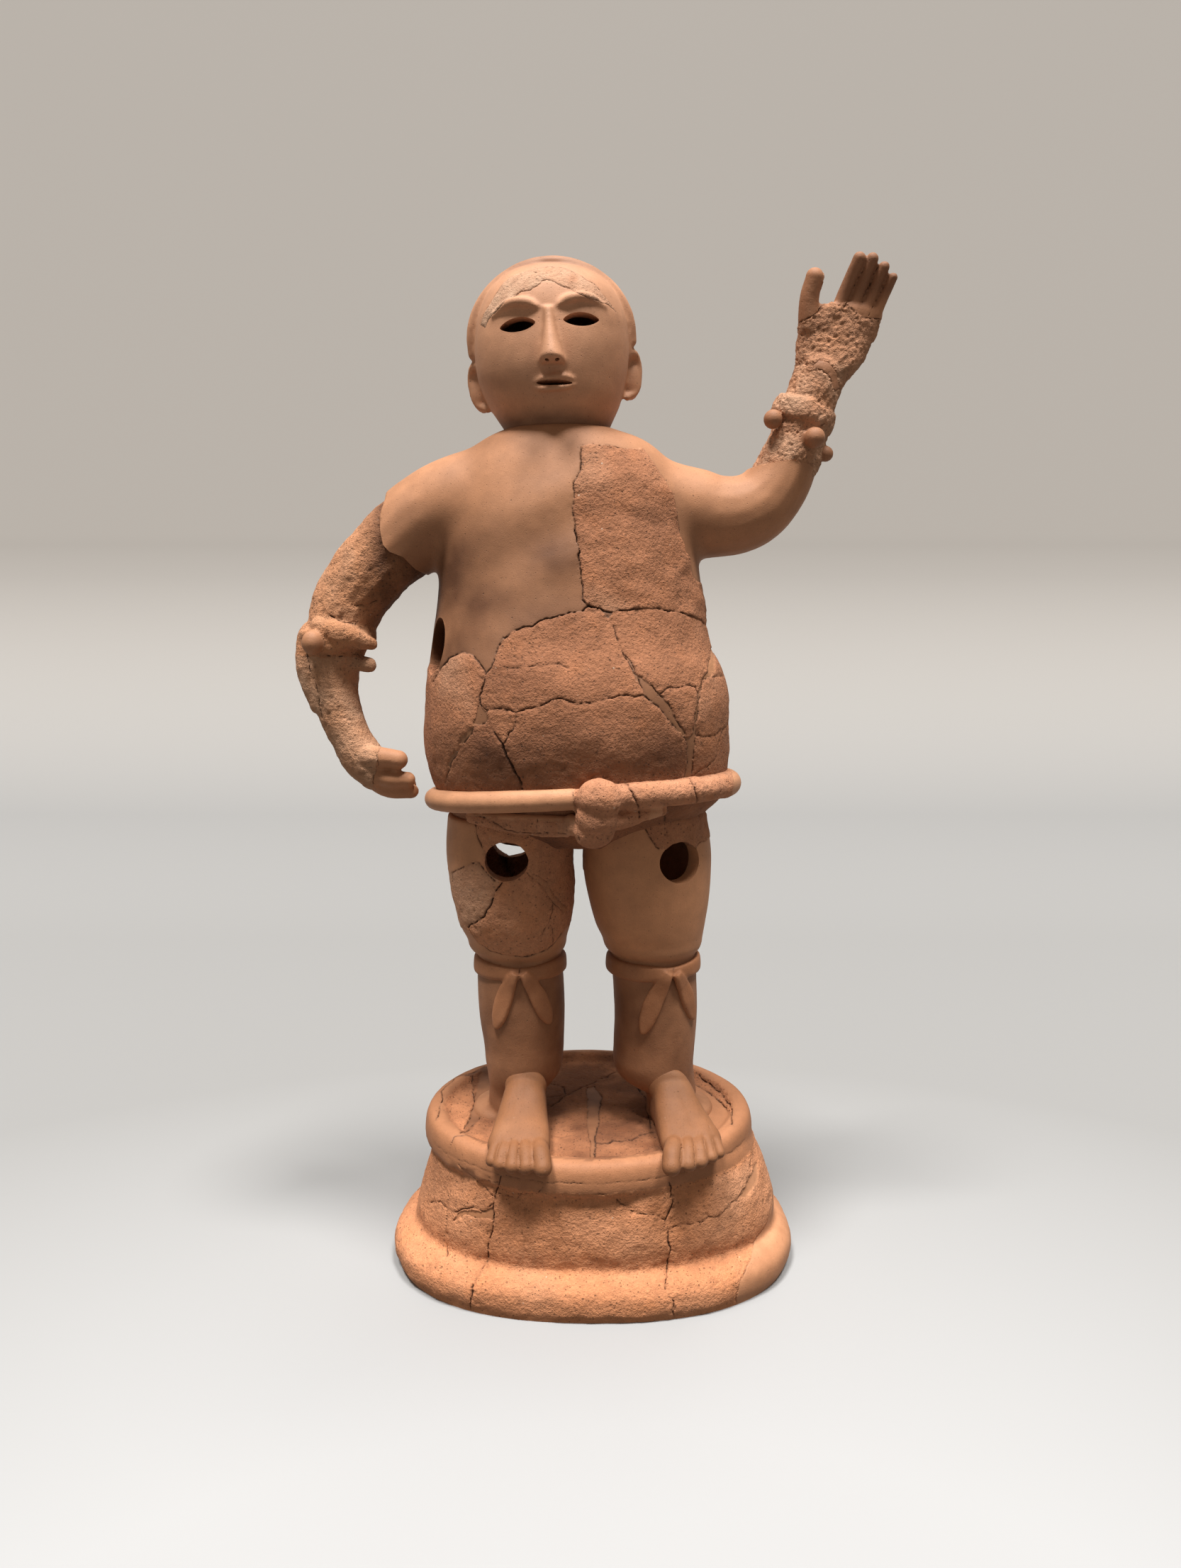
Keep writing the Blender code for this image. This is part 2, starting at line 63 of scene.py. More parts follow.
class Slip:
    """A value, colour or vector that runs through a material's nodes."""

    def __init__(self, tree, socket=None):
        self.tree = tree
        self.socket = socket

    def node(self, kind, settings, sockets, output=0):
        """Adds a node: its settings and a ramp's stops, then values or links for its sockets."""
        made = self.tree.nodes.new(kind)
        for name, value in settings.items():
            if name == "stops":
                for stop, (position, colour) in zip(made.color_ramp.elements, value):
                    stop.position, stop.color = position, colour
            else:
                setattr(made, name, value)
        for name, value in sockets.items():
            if isinstance(value, Slip):
                self.tree.links.new(value.socket, made.inputs[name])
            else:
                made.inputs[name].default_value = value
        return Slip(self.tree, made.outputs[output])

    def maths(self, operation, first, second, clamp=False):
        return self.node("ShaderNodeMath", {"operation": operation, "use_clamp": clamp},
                         {0: first, 1: second})

    def __add__(self, other):
        return self.maths("ADD", self, other)

    __radd__ = __add__

    def __sub__(self, other):
        return self.maths("SUBTRACT", self, other)

    def __rsub__(self, other):
        return self.maths("SUBTRACT", other, self)

    def __mul__(self, other):
        return self.maths("MULTIPLY", self, other)

    __rmul__ = __mul__

    def clamped(self):
        return self.maths("ADD", self, 0.0, clamp=True)

    def between(self, none, full):
        """The colour from none to full by this value."""
        return self.node("ShaderNodeMix", {"data_type": "RGBA"}, {0: self, 6: none, 7: full}, 2)


def pick_edges(form, fits):
    """In edit mode, selects only the edges both of whose ends fit."""
    bpy.ops.mesh.select_all(action="DESELECT")
    bpy.ops.object.mode_set(mode="OBJECT")
    for edge in form.data.edges:
        edge.select = all(fits(form.data.vertices[index].co) for index in edge.vertices)
    bpy.ops.object.mode_set(mode="EDIT")


bpy.ops.mesh.primitive_plane_add(size=1, location=(0, -0.6, 0))
floor = bpy.context.object
floor.name = "floor"
bpy.ops.object.mode_set(mode="EDIT")
bpy.ops.transform.resize(value=(FLOOR_WIDE, FLOOR_DEEP, 1))
bpy.ops.mesh.select_mode(type="EDGE")
pick_edges(floor, lambda spot: spot.y > 0)
bpy.ops.mesh.extrude_region_move(TRANSFORM_OT_translate={"value": (0, 0, SWEEP_HIGH)})
pick_edges(floor, lambda spot: spot.y > 0 and abs(spot.z) < 0.01)
bpy.ops.mesh.bevel(offset=SWEEP_ROUND, segments=16)
bpy.ops.object.mode_set(mode="OBJECT")
bpy.ops.object.shade_smooth()

pale_floor = bpy.data.materials.new("pale_floor")
pale_floor.use_nodes = True
floor_spot = Slip(pale_floor.node_tree).node("ShaderNodeTexCoord", {}, {}, "Object")
reach = floor_spot.node("ShaderNodeVectorMath", {"operation": "LENGTH"}, {0: floor_spot}, "Value")
height = floor_spot.node("ShaderNodeSeparateXYZ", {}, {0: floor_spot}, "Z")
ground = reach.node("ShaderNodeValToRGB", {"stops": ((0.4, (0.30, 0.30, 0.303, 1)),
                                                     (0.95, (0.2, 0.198, 0.195, 1)))}, {0: reach})
high = height.node("ShaderNodeValToRGB", {"stops": ((0.12, (0, 0, 0, 1)),
                                                    (0.62, (1, 1, 1, 1)))}, {0: height})
paint = high.between(ground, (0.53, 0.5, 0.47, 1))
body = pale_floor.node_tree.nodes["Principled BSDF"]
pale_floor.node_tree.links.new(paint.socket, body.inputs["Base Color"])
body.inputs["Roughness"].default_value = 0.8
floor.data.materials.append(pale_floor)
floor.visible_diffuse = False

bpy.ops.object.camera_add(location=CAMERA_SPOT, rotation=(radians(CAMERA_TILT), 0, 0))
view = bpy.context.object
view.data.sensor_width = 36.0
view.data.lens = 26.0
view.data.clip_start = 0.05
bpy.context.scene.camera = view

for name, strength, spread, tilt, turn in (("lamp_left", 4.5, 13, 13, -12),
                                           ("lamp_right", 3.5, 14, 13, 12),
                                           ("lamp_back", 0.8, 20, -14, 4)):
    bpy.ops.object.light_add(type="SUN", location=(0, 0, 2),
                             rotation=(radians(tilt), radians(turn), 0))
    lamp = bpy.context.object
    lamp.name = name
    lamp.data.energy = strength
    lamp.data.angle = radians(spread)
    lamp.data.color = LAMP_COLOUR

world = bpy.data.worlds.new("room")
world.use_nodes = True
world.node_tree.nodes["Background"].inputs["Color"].default_value = ROOM_COLOUR
world.node_tree.nodes["Background"].inputs["Strength"].default_value = ROOM_LIGHT
bpy.context.scene.world = world
bpy.context.scene.view_settings.view_transform = "Standard"


# ======== Base drum and plate ========
# An oval drum of thick slabs with a rolled foot ring, closed by a plate with a raised rim.
# Coil-built with walls about 20 mm at the foot, open below, and broken into many sherds.

MM = 0.001
THIN_WALL = 11          # how far the hollows in the legs and head stay inside the skin
SEAM_WIDTH = 0.8        # half the width of a seam that is not drawn as a break
UNBROKEN = 99.0         # the distance to the next seam where there is none


def smooth_rows(rows, steps=4):
    """More rows on the smooth curve through the given ones."""
    padded = [rows[0]] + list(rows) + [rows[-1]]
    result = []
    for index in range(1, len(padded) - 2):
        before, start, end, after = (np.array(row, float) for row in padded[index - 1:index + 3])
        for step in range(steps):
            t = step / steps
            result.append(tuple(0.5 * (2 * start + (end - before) * t
                                       + (2 * before - 5 * start + 4 * end - after) * t ** 2
                                       + (3 * start - before - 3 * end + after) * t ** 3)))
    return result + [tuple(float(value) for value in rows[-1])]


def squared(form, power):
    """A circle's vertices in x and y, pressed towards a square by a power below 1."""
    return [(copysign(abs(vertex.co.x) ** power, vertex.co.x),
             copysign(abs(vertex.co.y) ** power, vertex.co.y)) for vertex in form.data.vertices]


def set_aside(form):
    """In edit mode, turns the finished form's faces outwards and leaves it unselected."""
    bpy.ops.mesh.select_all(action="SELECT")
    bpy.ops.mesh.normals_make_consistent(inside=False)
    bpy.ops.object.mode_set(mode="OBJECT")
    form.select_set(False)


def coil_up(rows, square=2.0, around=64, lean=0.0, steps=4):
    """Ring drawn up on ring. Rows are height, centre x, centre y, half width, half depth."""
    rows = smooth_rows(rows, steps)
    height, x, y, wide, deep = rows[0]
    bpy.ops.mesh.primitive_circle_add(vertices=around, radius=1, fill_type="NGON")
    form = bpy.context.object
    for vertex, (a, b) in zip(form.data.vertices, squared(form, 2 / square)):
        vertex.co = (a, b, 0)
    bpy.ops.object.mode_set(mode="EDIT")
    bpy.ops.mesh.select_all(action="SELECT")
    bpy.ops.transform.resize(value=(wide * MM, deep * MM, 1), center_override=(0, 0, 0))
    bpy.ops.transform.translate(value=(x * MM, y * MM, height * MM))
    last = rows[0]
    for row in rows[1:]:
        height, x, y, wide, deep = row
        step = Vector((x - last[1], y - last[2], height - last[0])) * MM
        bpy.ops.mesh.extrude_region_move(TRANSFORM_OT_translate={"value": step})
        bpy.ops.transform.resize(value=(wide / last[3], deep / last[4], 1),
                                 center_override=(x * MM, y * MM, height * MM))
        last = row
    set_aside(form)
    for vertex in form.data.vertices:
        vertex.co.z += lean * vertex.co.y
    return form


def rub(piece, passes, where=""):
    """Smooths the wet clay, all over or as strongly as a vertex group says."""
    bpy.ops.object.modifier_add(type="SMOOTH")
    hand = piece.modifiers[-1]
    hand.factor = 0.5
    hand.iterations = passes
    hand.vertex_group = where
    bpy.ops.object.modifier_apply(modifier=hand.name)


def lute(name, forms, grain, passes):
    """Presses overlapping forms into one skin of clay and smooths the joins by hand."""
    bpy.ops.object.select_all(action="DESELECT")
    for form in forms:
        form.select_set(True)
    bpy.context.view_layer.objects.active = forms[0]
    if len(forms) > 1:
        bpy.ops.object.join()
    piece = bpy.context.object
    piece.name = name
    piece.data.name = name
    bpy.ops.object.modifier_add(type="REMESH")
    remesh = piece.modifiers[-1]
    remesh.mode = "VOXEL"
    remesh.voxel_size = grain * MM
    remesh.use_smooth_shade = True
    bpy.ops.object.modifier_apply(modifier=remesh.name)
    rub(piece, passes)
    piece.select_set(False)
    return piece


def carve(piece, cutters):
    """Cuts the wet clay with each cutter in turn and throws the cutter away."""
    bpy.context.view_layer.objects.active = piece
    for cutter in cutters:
        bpy.ops.object.modifier_add(type="BOOLEAN")
        knife = piece.modifiers[-1]
        knife.operation = "DIFFERENCE"
        knife.solver = "EXACT"
        knife.object = cutter
        bpy.ops.object.modifier_apply(modifier=knife.name)
        bpy.data.objects.remove(cutter)


def noise(points, size, seed):
    """Lumps of about the given size in mm: smooth random heights from -1 to 1."""
    slopes = np.random.default_rng(seed).normal(size=(4096, 3))
    slopes /= np.linalg.norm(slopes, axis=1)[:, None]
    places = points / size
    corner = np.floor(places).astype(np.int64)
    part = places - corner
    ease = part ** 3 * (part * (part * 6 - 15) + 10)
    height = np.zeros(len(points))
    for step in np.ndindex(2, 2, 2):
        node = corner + step
        pick = (node[:, 0] * 73856093 ^ node[:, 1] * 19349663 ^ node[:, 2] * 83492791) & 4095
        weight = np.prod(np.where(step, ease, 1 - ease), axis=1)
        height += weight * np.einsum("ij,ij->i", slopes[pick], part - step)
    return height * 1.6


def tremble(points):
    """The points moved a little, so that lines drawn on them run as clay breaks."""
    return points + np.stack([noise(points, 9, 50 + axis) * 1.1 + noise(points, 3.2, 60 + axis) * 0.5
                              for axis in range(3)], axis=1)


def skin_points(piece, what="co"):
    """The piece's vertices in mm, or their normals."""
    values = np.empty(len(piece.data.vertices) * 3)
    piece.data.vertices.foreach_get(what, values)
    return values.reshape(-1, 3) / (MM if what == "co" else 1)


FRONT, BACK, TOP = (1, -1), (1, 1), (2, 1)      # the axis and the side to look from


def inside(points, seen_from, outline, split=0.0):
    """Which points lie inside an outline, on the near side of a split across the view."""
    axis, side = seen_from
    u, v = np.delete(points, axis, axis=1).T
    result = np.zeros(len(points), bool)
    for (a, b), (c, d) in zip(outline, outline[1:] + outline[:1]):
        if b != d:
            result ^= ((b > v) != (d > v)) & (u < (c - a) * (v - b) / (d - b) + a)
    return result & ((points[:, axis] - split) * side > 0)


class Breaks:
    """Breaks in one piece, drawn on its skin as seen along an axis from one side."""

    def __init__(self, piece, lines):
        bpy.context.view_layer.update()
        spots, self.width, self.depth = [], [], []
        for axis, side, width, depth, line in lines:
            line = np.array(line, float)
            along = np.append(0, np.cumsum(np.linalg.norm(np.diff(line, axis=0), axis=1)))
            for step in np.arange(0, along[-1], 0.6):
                seen = [np.interp(step, along, line[:, 0]), np.interp(step, along, line[:, 1])]
                start = np.insert(seen, axis, side * 600)
                toward = [0, 0, 0]
                toward[axis] = -side
                hit, spot, _, _ = piece.ray_cast(Vector(start) * MM, toward)
                if hit:
                    spots.append(spot / MM)
                    self.width.append(width)
                    self.depth.append(depth)
        self.width, self.depth = np.array(self.width), np.array(self.depth)
        self.tree = KDTree(len(spots))
        for index, spot in enumerate(spots):
            self.tree.insert(spot, index)
        self.tree.balance()

    def near(self, points):
        """Distance to the nearest break, and its half width and depth, for each point."""
        found = [self.tree.find(point)[1:] for point in points]
        index = np.array([which for which, _ in found])
        return np.array([gap for _, gap in found]), self.width[index], self.depth[index]


def seams(points, seeds, seed):
    """Half the way from each point to the next sherd, given a spot in each sherd."""
    bent = points + 5 * np.stack([noise(points, 26, seed + axis) for axis in range(3)], axis=1)
    gaps = np.linalg.norm(bent[:, None] - np.array(seeds, float)[None], axis=2)
    ordered = np.sort(gaps, axis=1)
    return (ordered[:, 1] - ordered[:, 0]) / 2


def refine(piece, chosen):
    """Splits the faces that touch the chosen vertices into four."""
    mesh = piece.data
    corners = np.empty(len(mesh.loops), int)
    mesh.loops.foreach_get("vertex_index", corners)
    starts = np.empty(len(mesh.polygons), int)
    mesh.polygons.foreach_get("loop_start", starts)
    bpy.context.view_layer.objects.active = piece
    bpy.ops.object.mode_set(mode="EDIT")
    bpy.ops.mesh.select_mode(type="FACE")
    bpy.ops.mesh.select_all(action="DESELECT")
    bpy.ops.object.mode_set(mode="OBJECT")
    mesh.polygons.foreach_set("select", np.add.reduceat(chosen[corners], starts) > 0)
    bpy.ops.object.mode_set(mode="EDIT")
    bpy.ops.mesh.subdivide(number_cuts=1, ngon=False)
    bpy.ops.object.mode_set(mode="OBJECT")


def weather(piece, breaks, skin, coarse, levels=(1.0, 0.3), line_darkness=1.0):
    """Sinks the breaks, roughens the worn skin and notes both for the clay's colours.

    skin(points) gives for each point its wear from 0 to 1, its paleness from -1 to 1, how far
    it stands up in mm, and how far it is from the seams that are not drawn as breaks. The
    paleness holds the clay's own tone, and also painted light and painted shade.
    """
    for reach in levels:
        points = tremble(skin_points(piece))
        gap, width, _ = breaks.near(points)
        seam = skin(points)[3]
        refine(piece, np.minimum(gap - width, seam - SEAM_WIDTH) < reach)
    still = skin_points(piece)
    points = tremble(still)
    gap, width, depth = breaks.near(points)
    wear, pale, rise, seam = skin(points)
    near = np.minimum(gap / width, seam / SEAM_WIDTH)
    drawn = gap / width <= seam / SEAM_WIDTH
    groove = (np.clip(1 - near, 0, 1) ** 0.8 * np.where(drawn, depth, 1.0)
              + 0.35 * np.exp(-(near / 3) ** 2) * (wear + 0.3))
    lumps = noise(still, 15, 1) * 0.7 + noise(still, 6, 2) * 0.42 + noise(still, 2.6, 3) * 0.16
    pits = (np.clip(noise(still, 9, 8) - 0.6, 0, 1) * 0.6
            + np.clip(noise(still, 4.6, 4) - 0.42, 0, 1) * 0.8
            + np.clip(noise(still, 2.4, 5) - 0.45, 0, 1) * 0.5)
    hand = noise(still, 38, 6) * 0.45 + noise(still, 13, 7) * 0.12
    height = rise + hand - groove + wear * coarse * (lumps - pits * 2.4)
    height *= np.clip(still[:, 2] / 5, 0, 1)
    normals = skin_points(piece, "normal")
    moved = still + normals * height[:, None]
    moved[:, 2] = np.maximum(moved[:, 2], 0)
    piece.data.vertices.foreach_set("co", (moved * MM).ravel())
    # Dark lines along the breaks and partings, and dark pits: partly dark joints and grime, partly painted
    # shade in the cracks and in the grooves between fingers and toes.
    black = line_darkness * np.clip(np.where(drawn, width, 0.4) / 0.45, 0.6, 1)
    dirt_and_shade = black * (0.95 * np.exp(-(near / 0.85) ** 2) + 0.13 * np.exp(-(near / 3) ** 2))
    dirt_and_shade = dirt_and_shade + wear * pits * 0.8
    for name, values in (("wear", wear), ("pale", pale), ("dirt_and_shade", np.clip(dirt_and_shade, 0, 1))):
        piece.data.attributes.new(name, "FLOAT", "POINT").data.foreach_set("value", values)
    piece.data.update()
    piece.data.materials.clear()
    bpy.ops.object.select_all(action="DESELECT")
    piece.select_set(True)
    bpy.context.view_layer.objects.active = piece
    bpy.ops.object.shade_smooth_by_angle(angle=radians(65))
    piece.select_set(False)


def fired_clay(name, smooth, worn, grit=1.0):
    """Fired clay: even where it was smoothed or filled, gritty, pitted and redder where worn."""
    clay = bpy.data.materials.new(name)
    clay.use_nodes = True
    tree = clay.node_tree
    start = Slip(tree)
    spot = start.node("ShaderNodeTexCoord", {}, {}, "Object")
    place = start.node("ShaderNodeVectorMath", {"operation": "SCALE"}, {0: spot, "Scale": 1 / MM})

    def lumps(size, detail=2.0):
        return place.node("ShaderNodeTexNoise", {}, {"Vector": place, "Scale": 1 / size,
                                                      "Detail": detail, "Roughness": 0.6})

    def flecks(size, share, radius):
        """Small round grains, one in each of a share of cells of the given size."""
        cells = {"Vector": place, "Scale": 1 / size}
        far = place.node("ShaderNodeTexVoronoi", {}, cells)
        which = place.node("ShaderNodeTexVoronoi", {}, cells, "Color")
        chance = place.node("ShaderNodeSeparateColor", {}, {0: which})
        return ((chance - (1 - share)) * 6).clamped() * ((radius - far) * (3 / radius)).clamped()

    def marked(mark):
        return place.node("ShaderNodeAttribute", {"attribute_name": mark}, {}, "Fac")

    wear, pale, dirt_and_shade = marked("wear"), marked("pale"), marked("dirt_and_shade")
    broad = ((lumps(34) - 0.5) * 2.6 + 0.5).clamped()
    cloud = ((lumps(9, 3) - 0.5) * 2.4 + 0.5).clamped()
    crumb = ((lumps(2.3, 3) - 0.5) * 2.8 + 0.5).clamped()
    sand = ((lumps(0.8, 2) - 0.5) * 2.4 + 0.5).clamped()
    pit = (flecks(2.3, 0.42, 0.24) + flecks(4.7, 0.5, 0.17) + flecks(1.4, 0.3, 0.3) * 0.6).clamped()
    rust = ((lumps(21, 4) - 0.52) * 5).clamped()
    specks = (flecks(1.3, 0.4, 0.24) * 0.5 + flecks(2.7, 0.4, 0.16) * 0.7
              + flecks(6.3, 0.3, 0.1)).clamped()
    flint = flecks(7.5, 0.16, 0.1)

    def shade(colour, factor):
        return tuple(part * factor for part in colour) + (1,)

    even = (broad * 0.6 + cloud * 0.4).between(shade(smooth, 0.76), shade(smooth, 1.14))
    even = (specks * 0.7).between(even, shade(smooth, 0.3))
    even = (sand * 0.34).between(even, shade(smooth, 0.66))
    gritty = (cloud * 0.5 + crumb * 0.5).between(shade(worn, 0.76), shade(worn, 1.2))
    gritty = (rust * 0.45).between(gritty, (worn[0] * 1.22, worn[1] * 1.1, worn[2] * 0.92, 1))
    gritty = (sand * 0.35).between(gritty, shade(worn, 0.66))
    gritty = (pit * 0.62).between(gritty, shade(worn, 0.28))
    gritty = (flint * 0.6).between(gritty, (0.66, 0.55, 0.44, 1))
    colour = wear.between(even, gritty)
    # Paleness lightens the clay towards ash grey and darkens it by multiplying. It holds the clay's own
    # ashen and burnt tones, and also the painted light and painted shade that the skins set.
    ashen = (pale * (0.55 + broad * 0.5)).clamped()
    colour = ashen.between(colour, (cloud * 0.7 + sand * 0.3).between(
        (0.36, 0.215, 0.135, 1), (0.56, 0.37, 0.25, 1)))
    burnt_and_shade = ((0 - pale) * (0.5 + broad * 0.7)).clamped()
    colour = place.node("ShaderNodeMix", {"data_type": "RGBA", "blend_type": "MULTIPLY"},
                        {0: burnt_and_shade, 6: colour, 7: (0.3, 0.26, 0.23, 1)}, 2)
    # Dark joints and grime, with painted shade in the cracks and grooves.
    colour = dirt_and_shade.between(colour, (0.022, 0.011, 0.007, 1))

    grain = (crumb * 0.4 + sand * 0.13 - pit * 0.45) * grit
    height = wear * grain + (1 - wear) * (sand * 0.035 + cloud * 0.06 - specks * 0.16)
    bump = place.node("ShaderNodeBump", {}, {"Height": height, "Strength": 1.0, "Distance": MM})
    body = tree.nodes["Principled BSDF"]
    body.inputs["Specular IOR Level"].default_value = 0.35
    tree.links.new(colour.socket, body.inputs["Base Color"])
    tree.links.new((0.66 + wear * 0.24).socket, body.inputs["Roughness"])
    tree.links.new(bump.socket, body.inputs["Normal"])
    return clay


PLATE_X, PLATE_HALF = -1.5, (122, 94)
DRUM_TOP, PLATE_FACE = 84, 95       # the drum's sherds end below, the plate's begin above
drum = coil_up(((-8, 2, 0, 144, 102), (0, 2, 0, 145, 103), (6, 2, 0, 148, 105),
                (13, 2, 0, 149, 105), (19, 2, 0, 147.5, 104), (24, 2.5, 0, 143, 100),
                (27.5, 3, 0, 138, 94.5), (28, 3, 0, 132, 89)), square=2.35)
wall = coil_up(((18, 3, 0, 134, 90.5), (30, 3, 0, 134, 91), (44, 4, 0, 133, 92.5),
                (64, 4.5, 0, 127, 91), (86, 3, 0, 120, 89), (94, 2, 0, 118, 89)), square=2.2)
plate = coil_up([(z, PLATE_X, 0, wide, deep) for z, wide, deep in (
    (87, 116, 88), (91, 121, 93), (97,) + PLATE_HALF, (106, 121, 93), (111, 118.5, 90.5),
    (113, 114, 86), (113, 109, 81), (111, 106, 78), (108.5, 104, 76))], lean=0.055)
base = lute("base", [drum, wall, plate], 2.05, 2)
base_hollow = coil_up(((-20, 2, 0, 129, 85), (30, 2, 0, 129, 85), (60, 2, 0, 124, 82),
                       (82, 2, 0, 118, 78), (96, 2, 0, 109, 73)), square=2.2, steps=1)
bpy.ops.mesh.primitive_cube_add(size=1, location=(0, 0, -0.05), scale=(0.5, 0.5, 0.1))
board = bpy.context.object
carve(base, [board, base_hollow])

SLOT_RIGHT = [(3, 33), (8.5, 16), (6.5, -8), (6, -27), (3.5, -45), (3, -62), (2.5, -80)]
SLOT_LEFT = [(-3, 30), (-2, -1), (-2.5, -33), (0, -57), (0, -80)]
base_breaks = Breaks(base, [
    FRONT + (0.52, 2.4, [(-61, 95), (-64, 84.5), (-66, 78), (-66.5, 65), (-67, 59), (-70, 47), (-71, 40),
                        (-70.5, 35), (-72, 29.5), (-78.5, 23), (-81.5, 18.5), (-82.5, 1)]),
    FRONT + (0.52, 2.2, [(53.5, 91), (55, 83), (56, 76.5), (53.5, 71), (51.5, 64.5), (53.5, 57.5),
                        (53, 50), (55, 45), (54.5, 40), (53.5, 34.5), (52, 28.5), (51, 22)]),
    FRONT + (0.45, 1.8, [(53, 18), (56, 14), (56.5, 1)]),
    FRONT + (0.38, 1.4, [(-92, 93), (-82, 87), (-73.5, 82.5), (-67, 78)]),
    FRONT + (0.3, 1.2, [(-80, 85.5), (-70, 89), (-61, 90.5)]),
    FRONT + (0.45, 1.6, [(-120, 50), (-109, 58), (-102, 57), (-93, 59), (-85, 64), (-80, 66.5),
                        (-73.5, 65.5), (-67, 72)]),
    FRONT + (0.3, 1.0, [(-97, 52), (-85, 59), (-67, 61)]),
    FRONT + (0.38, 1.2, [(-63, 80.5), (-50, 80), (-46.5, 84), (-36.5, 86), (-32, 92)]),
    FRONT + (0.38, 1.3, [(5, 88.5), (9.5, 88), (17, 82), (22.5, 78), (26, 74), (34.5, 71), (41, 70.5),
                        (47, 68), (51.5, 65)]),
    FRONT + (0.38, 1.3, [(51.5, 58), (60.5, 59.5), (77.5, 60), (81.5, 62), (91.5, 60), (99, 66),
                        (108, 68), (111, 73), (115, 76), (117, 87)]),
    FRONT + (0.3, 0.9, [(101, 2), (103, 17), (117, 30), (127, 36), (133, 45)]),
    FRONT + (0.3, 0.5, [(-50, 75), (-47, 58), (-45, 40)]),
    FRONT + (0.3, 0.5, [(-112, 97.5), (-60, 96), (0, 95.5), (60, 96.5), (112, 98)]),
    TOP + (0.6, 2.2, [(-92, -49), (-87, -30), (-78, -11), (-68, -5)]),
    TOP + (0.52, 1.8, [(-101, -68), (-102.5, -57), (-95, -52), (-87, -52), (-72, -57.5)]),
    TOP + (0.52, 1.8, [(-112, -28), (-111, 2), (-114, 14), (-106, 37), (-90, 48)]),
    TOP + (0.45, 1.5, [(-93, 40), (-88, 6), (-89, -17), (-93, -43)]),
    TOP + (0.52, 1.6, [(-69, 24), (-75, 28), (-75, 22.5), (-72, 12), (-67.5, 7)]),
    TOP + (0.52, 1.6, [(-31, 37), (-20.5, 28), (-19.5, 17), (-30, 14)]),
    TOP + (0.52, 1.8, [(-30, -1), (-14, 21), (0, 37), (13, 48), (22, 59)]),
    TOP + (0.6, 2.0, [(22, 59), (35.5, 37), (39, 19), (43, 12), (43, -4.5), (44, -33)]),
    TOP + (0.52, 1.8, SLOT_RIGHT),
    TOP + (0.3, 0.8, SLOT_LEFT),
    TOP + (0.75, 2.6, [(4, -54), (13, -54), (16, -49.5), (21.5, -51), (30, -48), (36, -42), (45, -39)]),
    TOP + (0.38, 0.9, [(-27.5, -45), (-17.5, -45), (-7.5, -40.5)]),
    TOP + (0.52, 1.7, [(85.5, 44), (93, 33), (100.5, 16), (104, -1), (104, -20), (101, -36)]),
    TOP + (0.45, 1.4, [(81.5, 37), (90.5, 22.5), (99.5, 5.5), (103, -11)])])
drum_sherds = [(140, 10, 20), (120, 45, 60), (95, 70, 30), (60, 95, 70), (20, 100, 25), (-5, 95, 75),
               (-50, 100, 40), (-85, 80, 70), (-115, 60, 25), (-140, 15, 50), (125, -20, 80)]
drum_fills = [[(-91, 92), (-80, 92), (-80, 85), (-90, 84)],
              [(-97, 52), (-85, 59), (-67, 61), (-67, 70), (-76, 65), (-84, 63), (-93, 58)],
              [(105, 68), (111, 73), (122, 79), (122, 69), (110, 64)]]
plate_fills = [SLOT_RIGHT[:5] + [(3, -80)] + SLOT_LEFT[::-1],
               [(-83, 60), (-88, 44), (-88.5, 6), (-89.5, -17), (-91, -30), (-87, -30), (-78, -11),
                (-66, -5), (-60, 20), (-70, 50)],
               [(81.5, 37), (90.5, 22.5), (99.5, 5.5), (103, -11), (103, -30), (94, -45), (80, -40),
                (66, 0), (70, 40)]]


def base_skin(points):
    x, y, z = points.T
    out = np.hypot((x - PLATE_X) / PLATE_HALF[0], y / PLATE_HALF[1])
    rim = (z > 88) & (out > 0.875)
    smooth_foot = inside(points, FRONT, [(101, -5), (103, 17), (117, 30), (127, 36), (140, 50), (160, 20),
                                        (160, -5)], split=20)
    seam = np.where((y > 4) & (z < DRUM_TOP), seams(points, drum_sherds, 21), UNBROKEN)
    filled = np.zeros(len(points), bool)
    for outline in drum_fills:
        filled |= inside(points, FRONT, outline)
    for outline in plate_fills:
        filled |= inside(points, TOP, outline, split=PLATE_FACE)
    wear = np.where(rim, 0.12, 1.0) * ~filled * np.where(smooth_foot, 0.1, 1)
    grey = inside(points, TOP, [(-112, -28), (-111, 2), (-114, 14), (-106, 37), (-93, 40), (-88, 6),
                                 (-89, -17), (-93, -48)], split=PLATE_FACE)
    top = (z > 99) & (out < 0.9)
    # The plate's top is painted darker, less on the grey sherd and more towards the back, and the rim a
    # little: painted shade.
    pale = np.where(top, np.where(grey, -0.45, -0.9) - 0.2 * np.clip(y / 60, 0, 1), -0.4 * rim)
    pale = pale + 0.25 * noise(points, 40, 31) * (wear > 0.5) + 0.3 * grey * noise(points, 16, 30)
    # Lighter towards the raised hand's side, a little on the drum and more on the plate's top: painted
    # light.
    pale += np.clip((x - 60) / 40, 0, 1) * np.where(z < 86, 0.16, 0.6 * top)
    under_rim = (z < 92) & (z > 78) & (x < -40)
    rise = (np.where(filled, -0.7, 0) + noise(points, 48, 32) * 1.3 * (z < DRUM_TOP)
            + noise(points, 8, 33) * 0.8 * under_rim)
    return wear, pale, rise, seam


weather(base, base_breaks, base_skin, 0.9)
base.data.materials.append(fired_clay("base_clay", (0.48, 0.208, 0.096), (0.53, 0.22, 0.102)))
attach(base, "root")
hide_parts("haniwa_wrestler")


# ======== Legs ========
# Two hollow tubes coiled up from the plate, wide at the thigh and drawn in under a rolled lip at
# the knee. A round hole goes through each thigh. One thigh is pieced together from sherds.

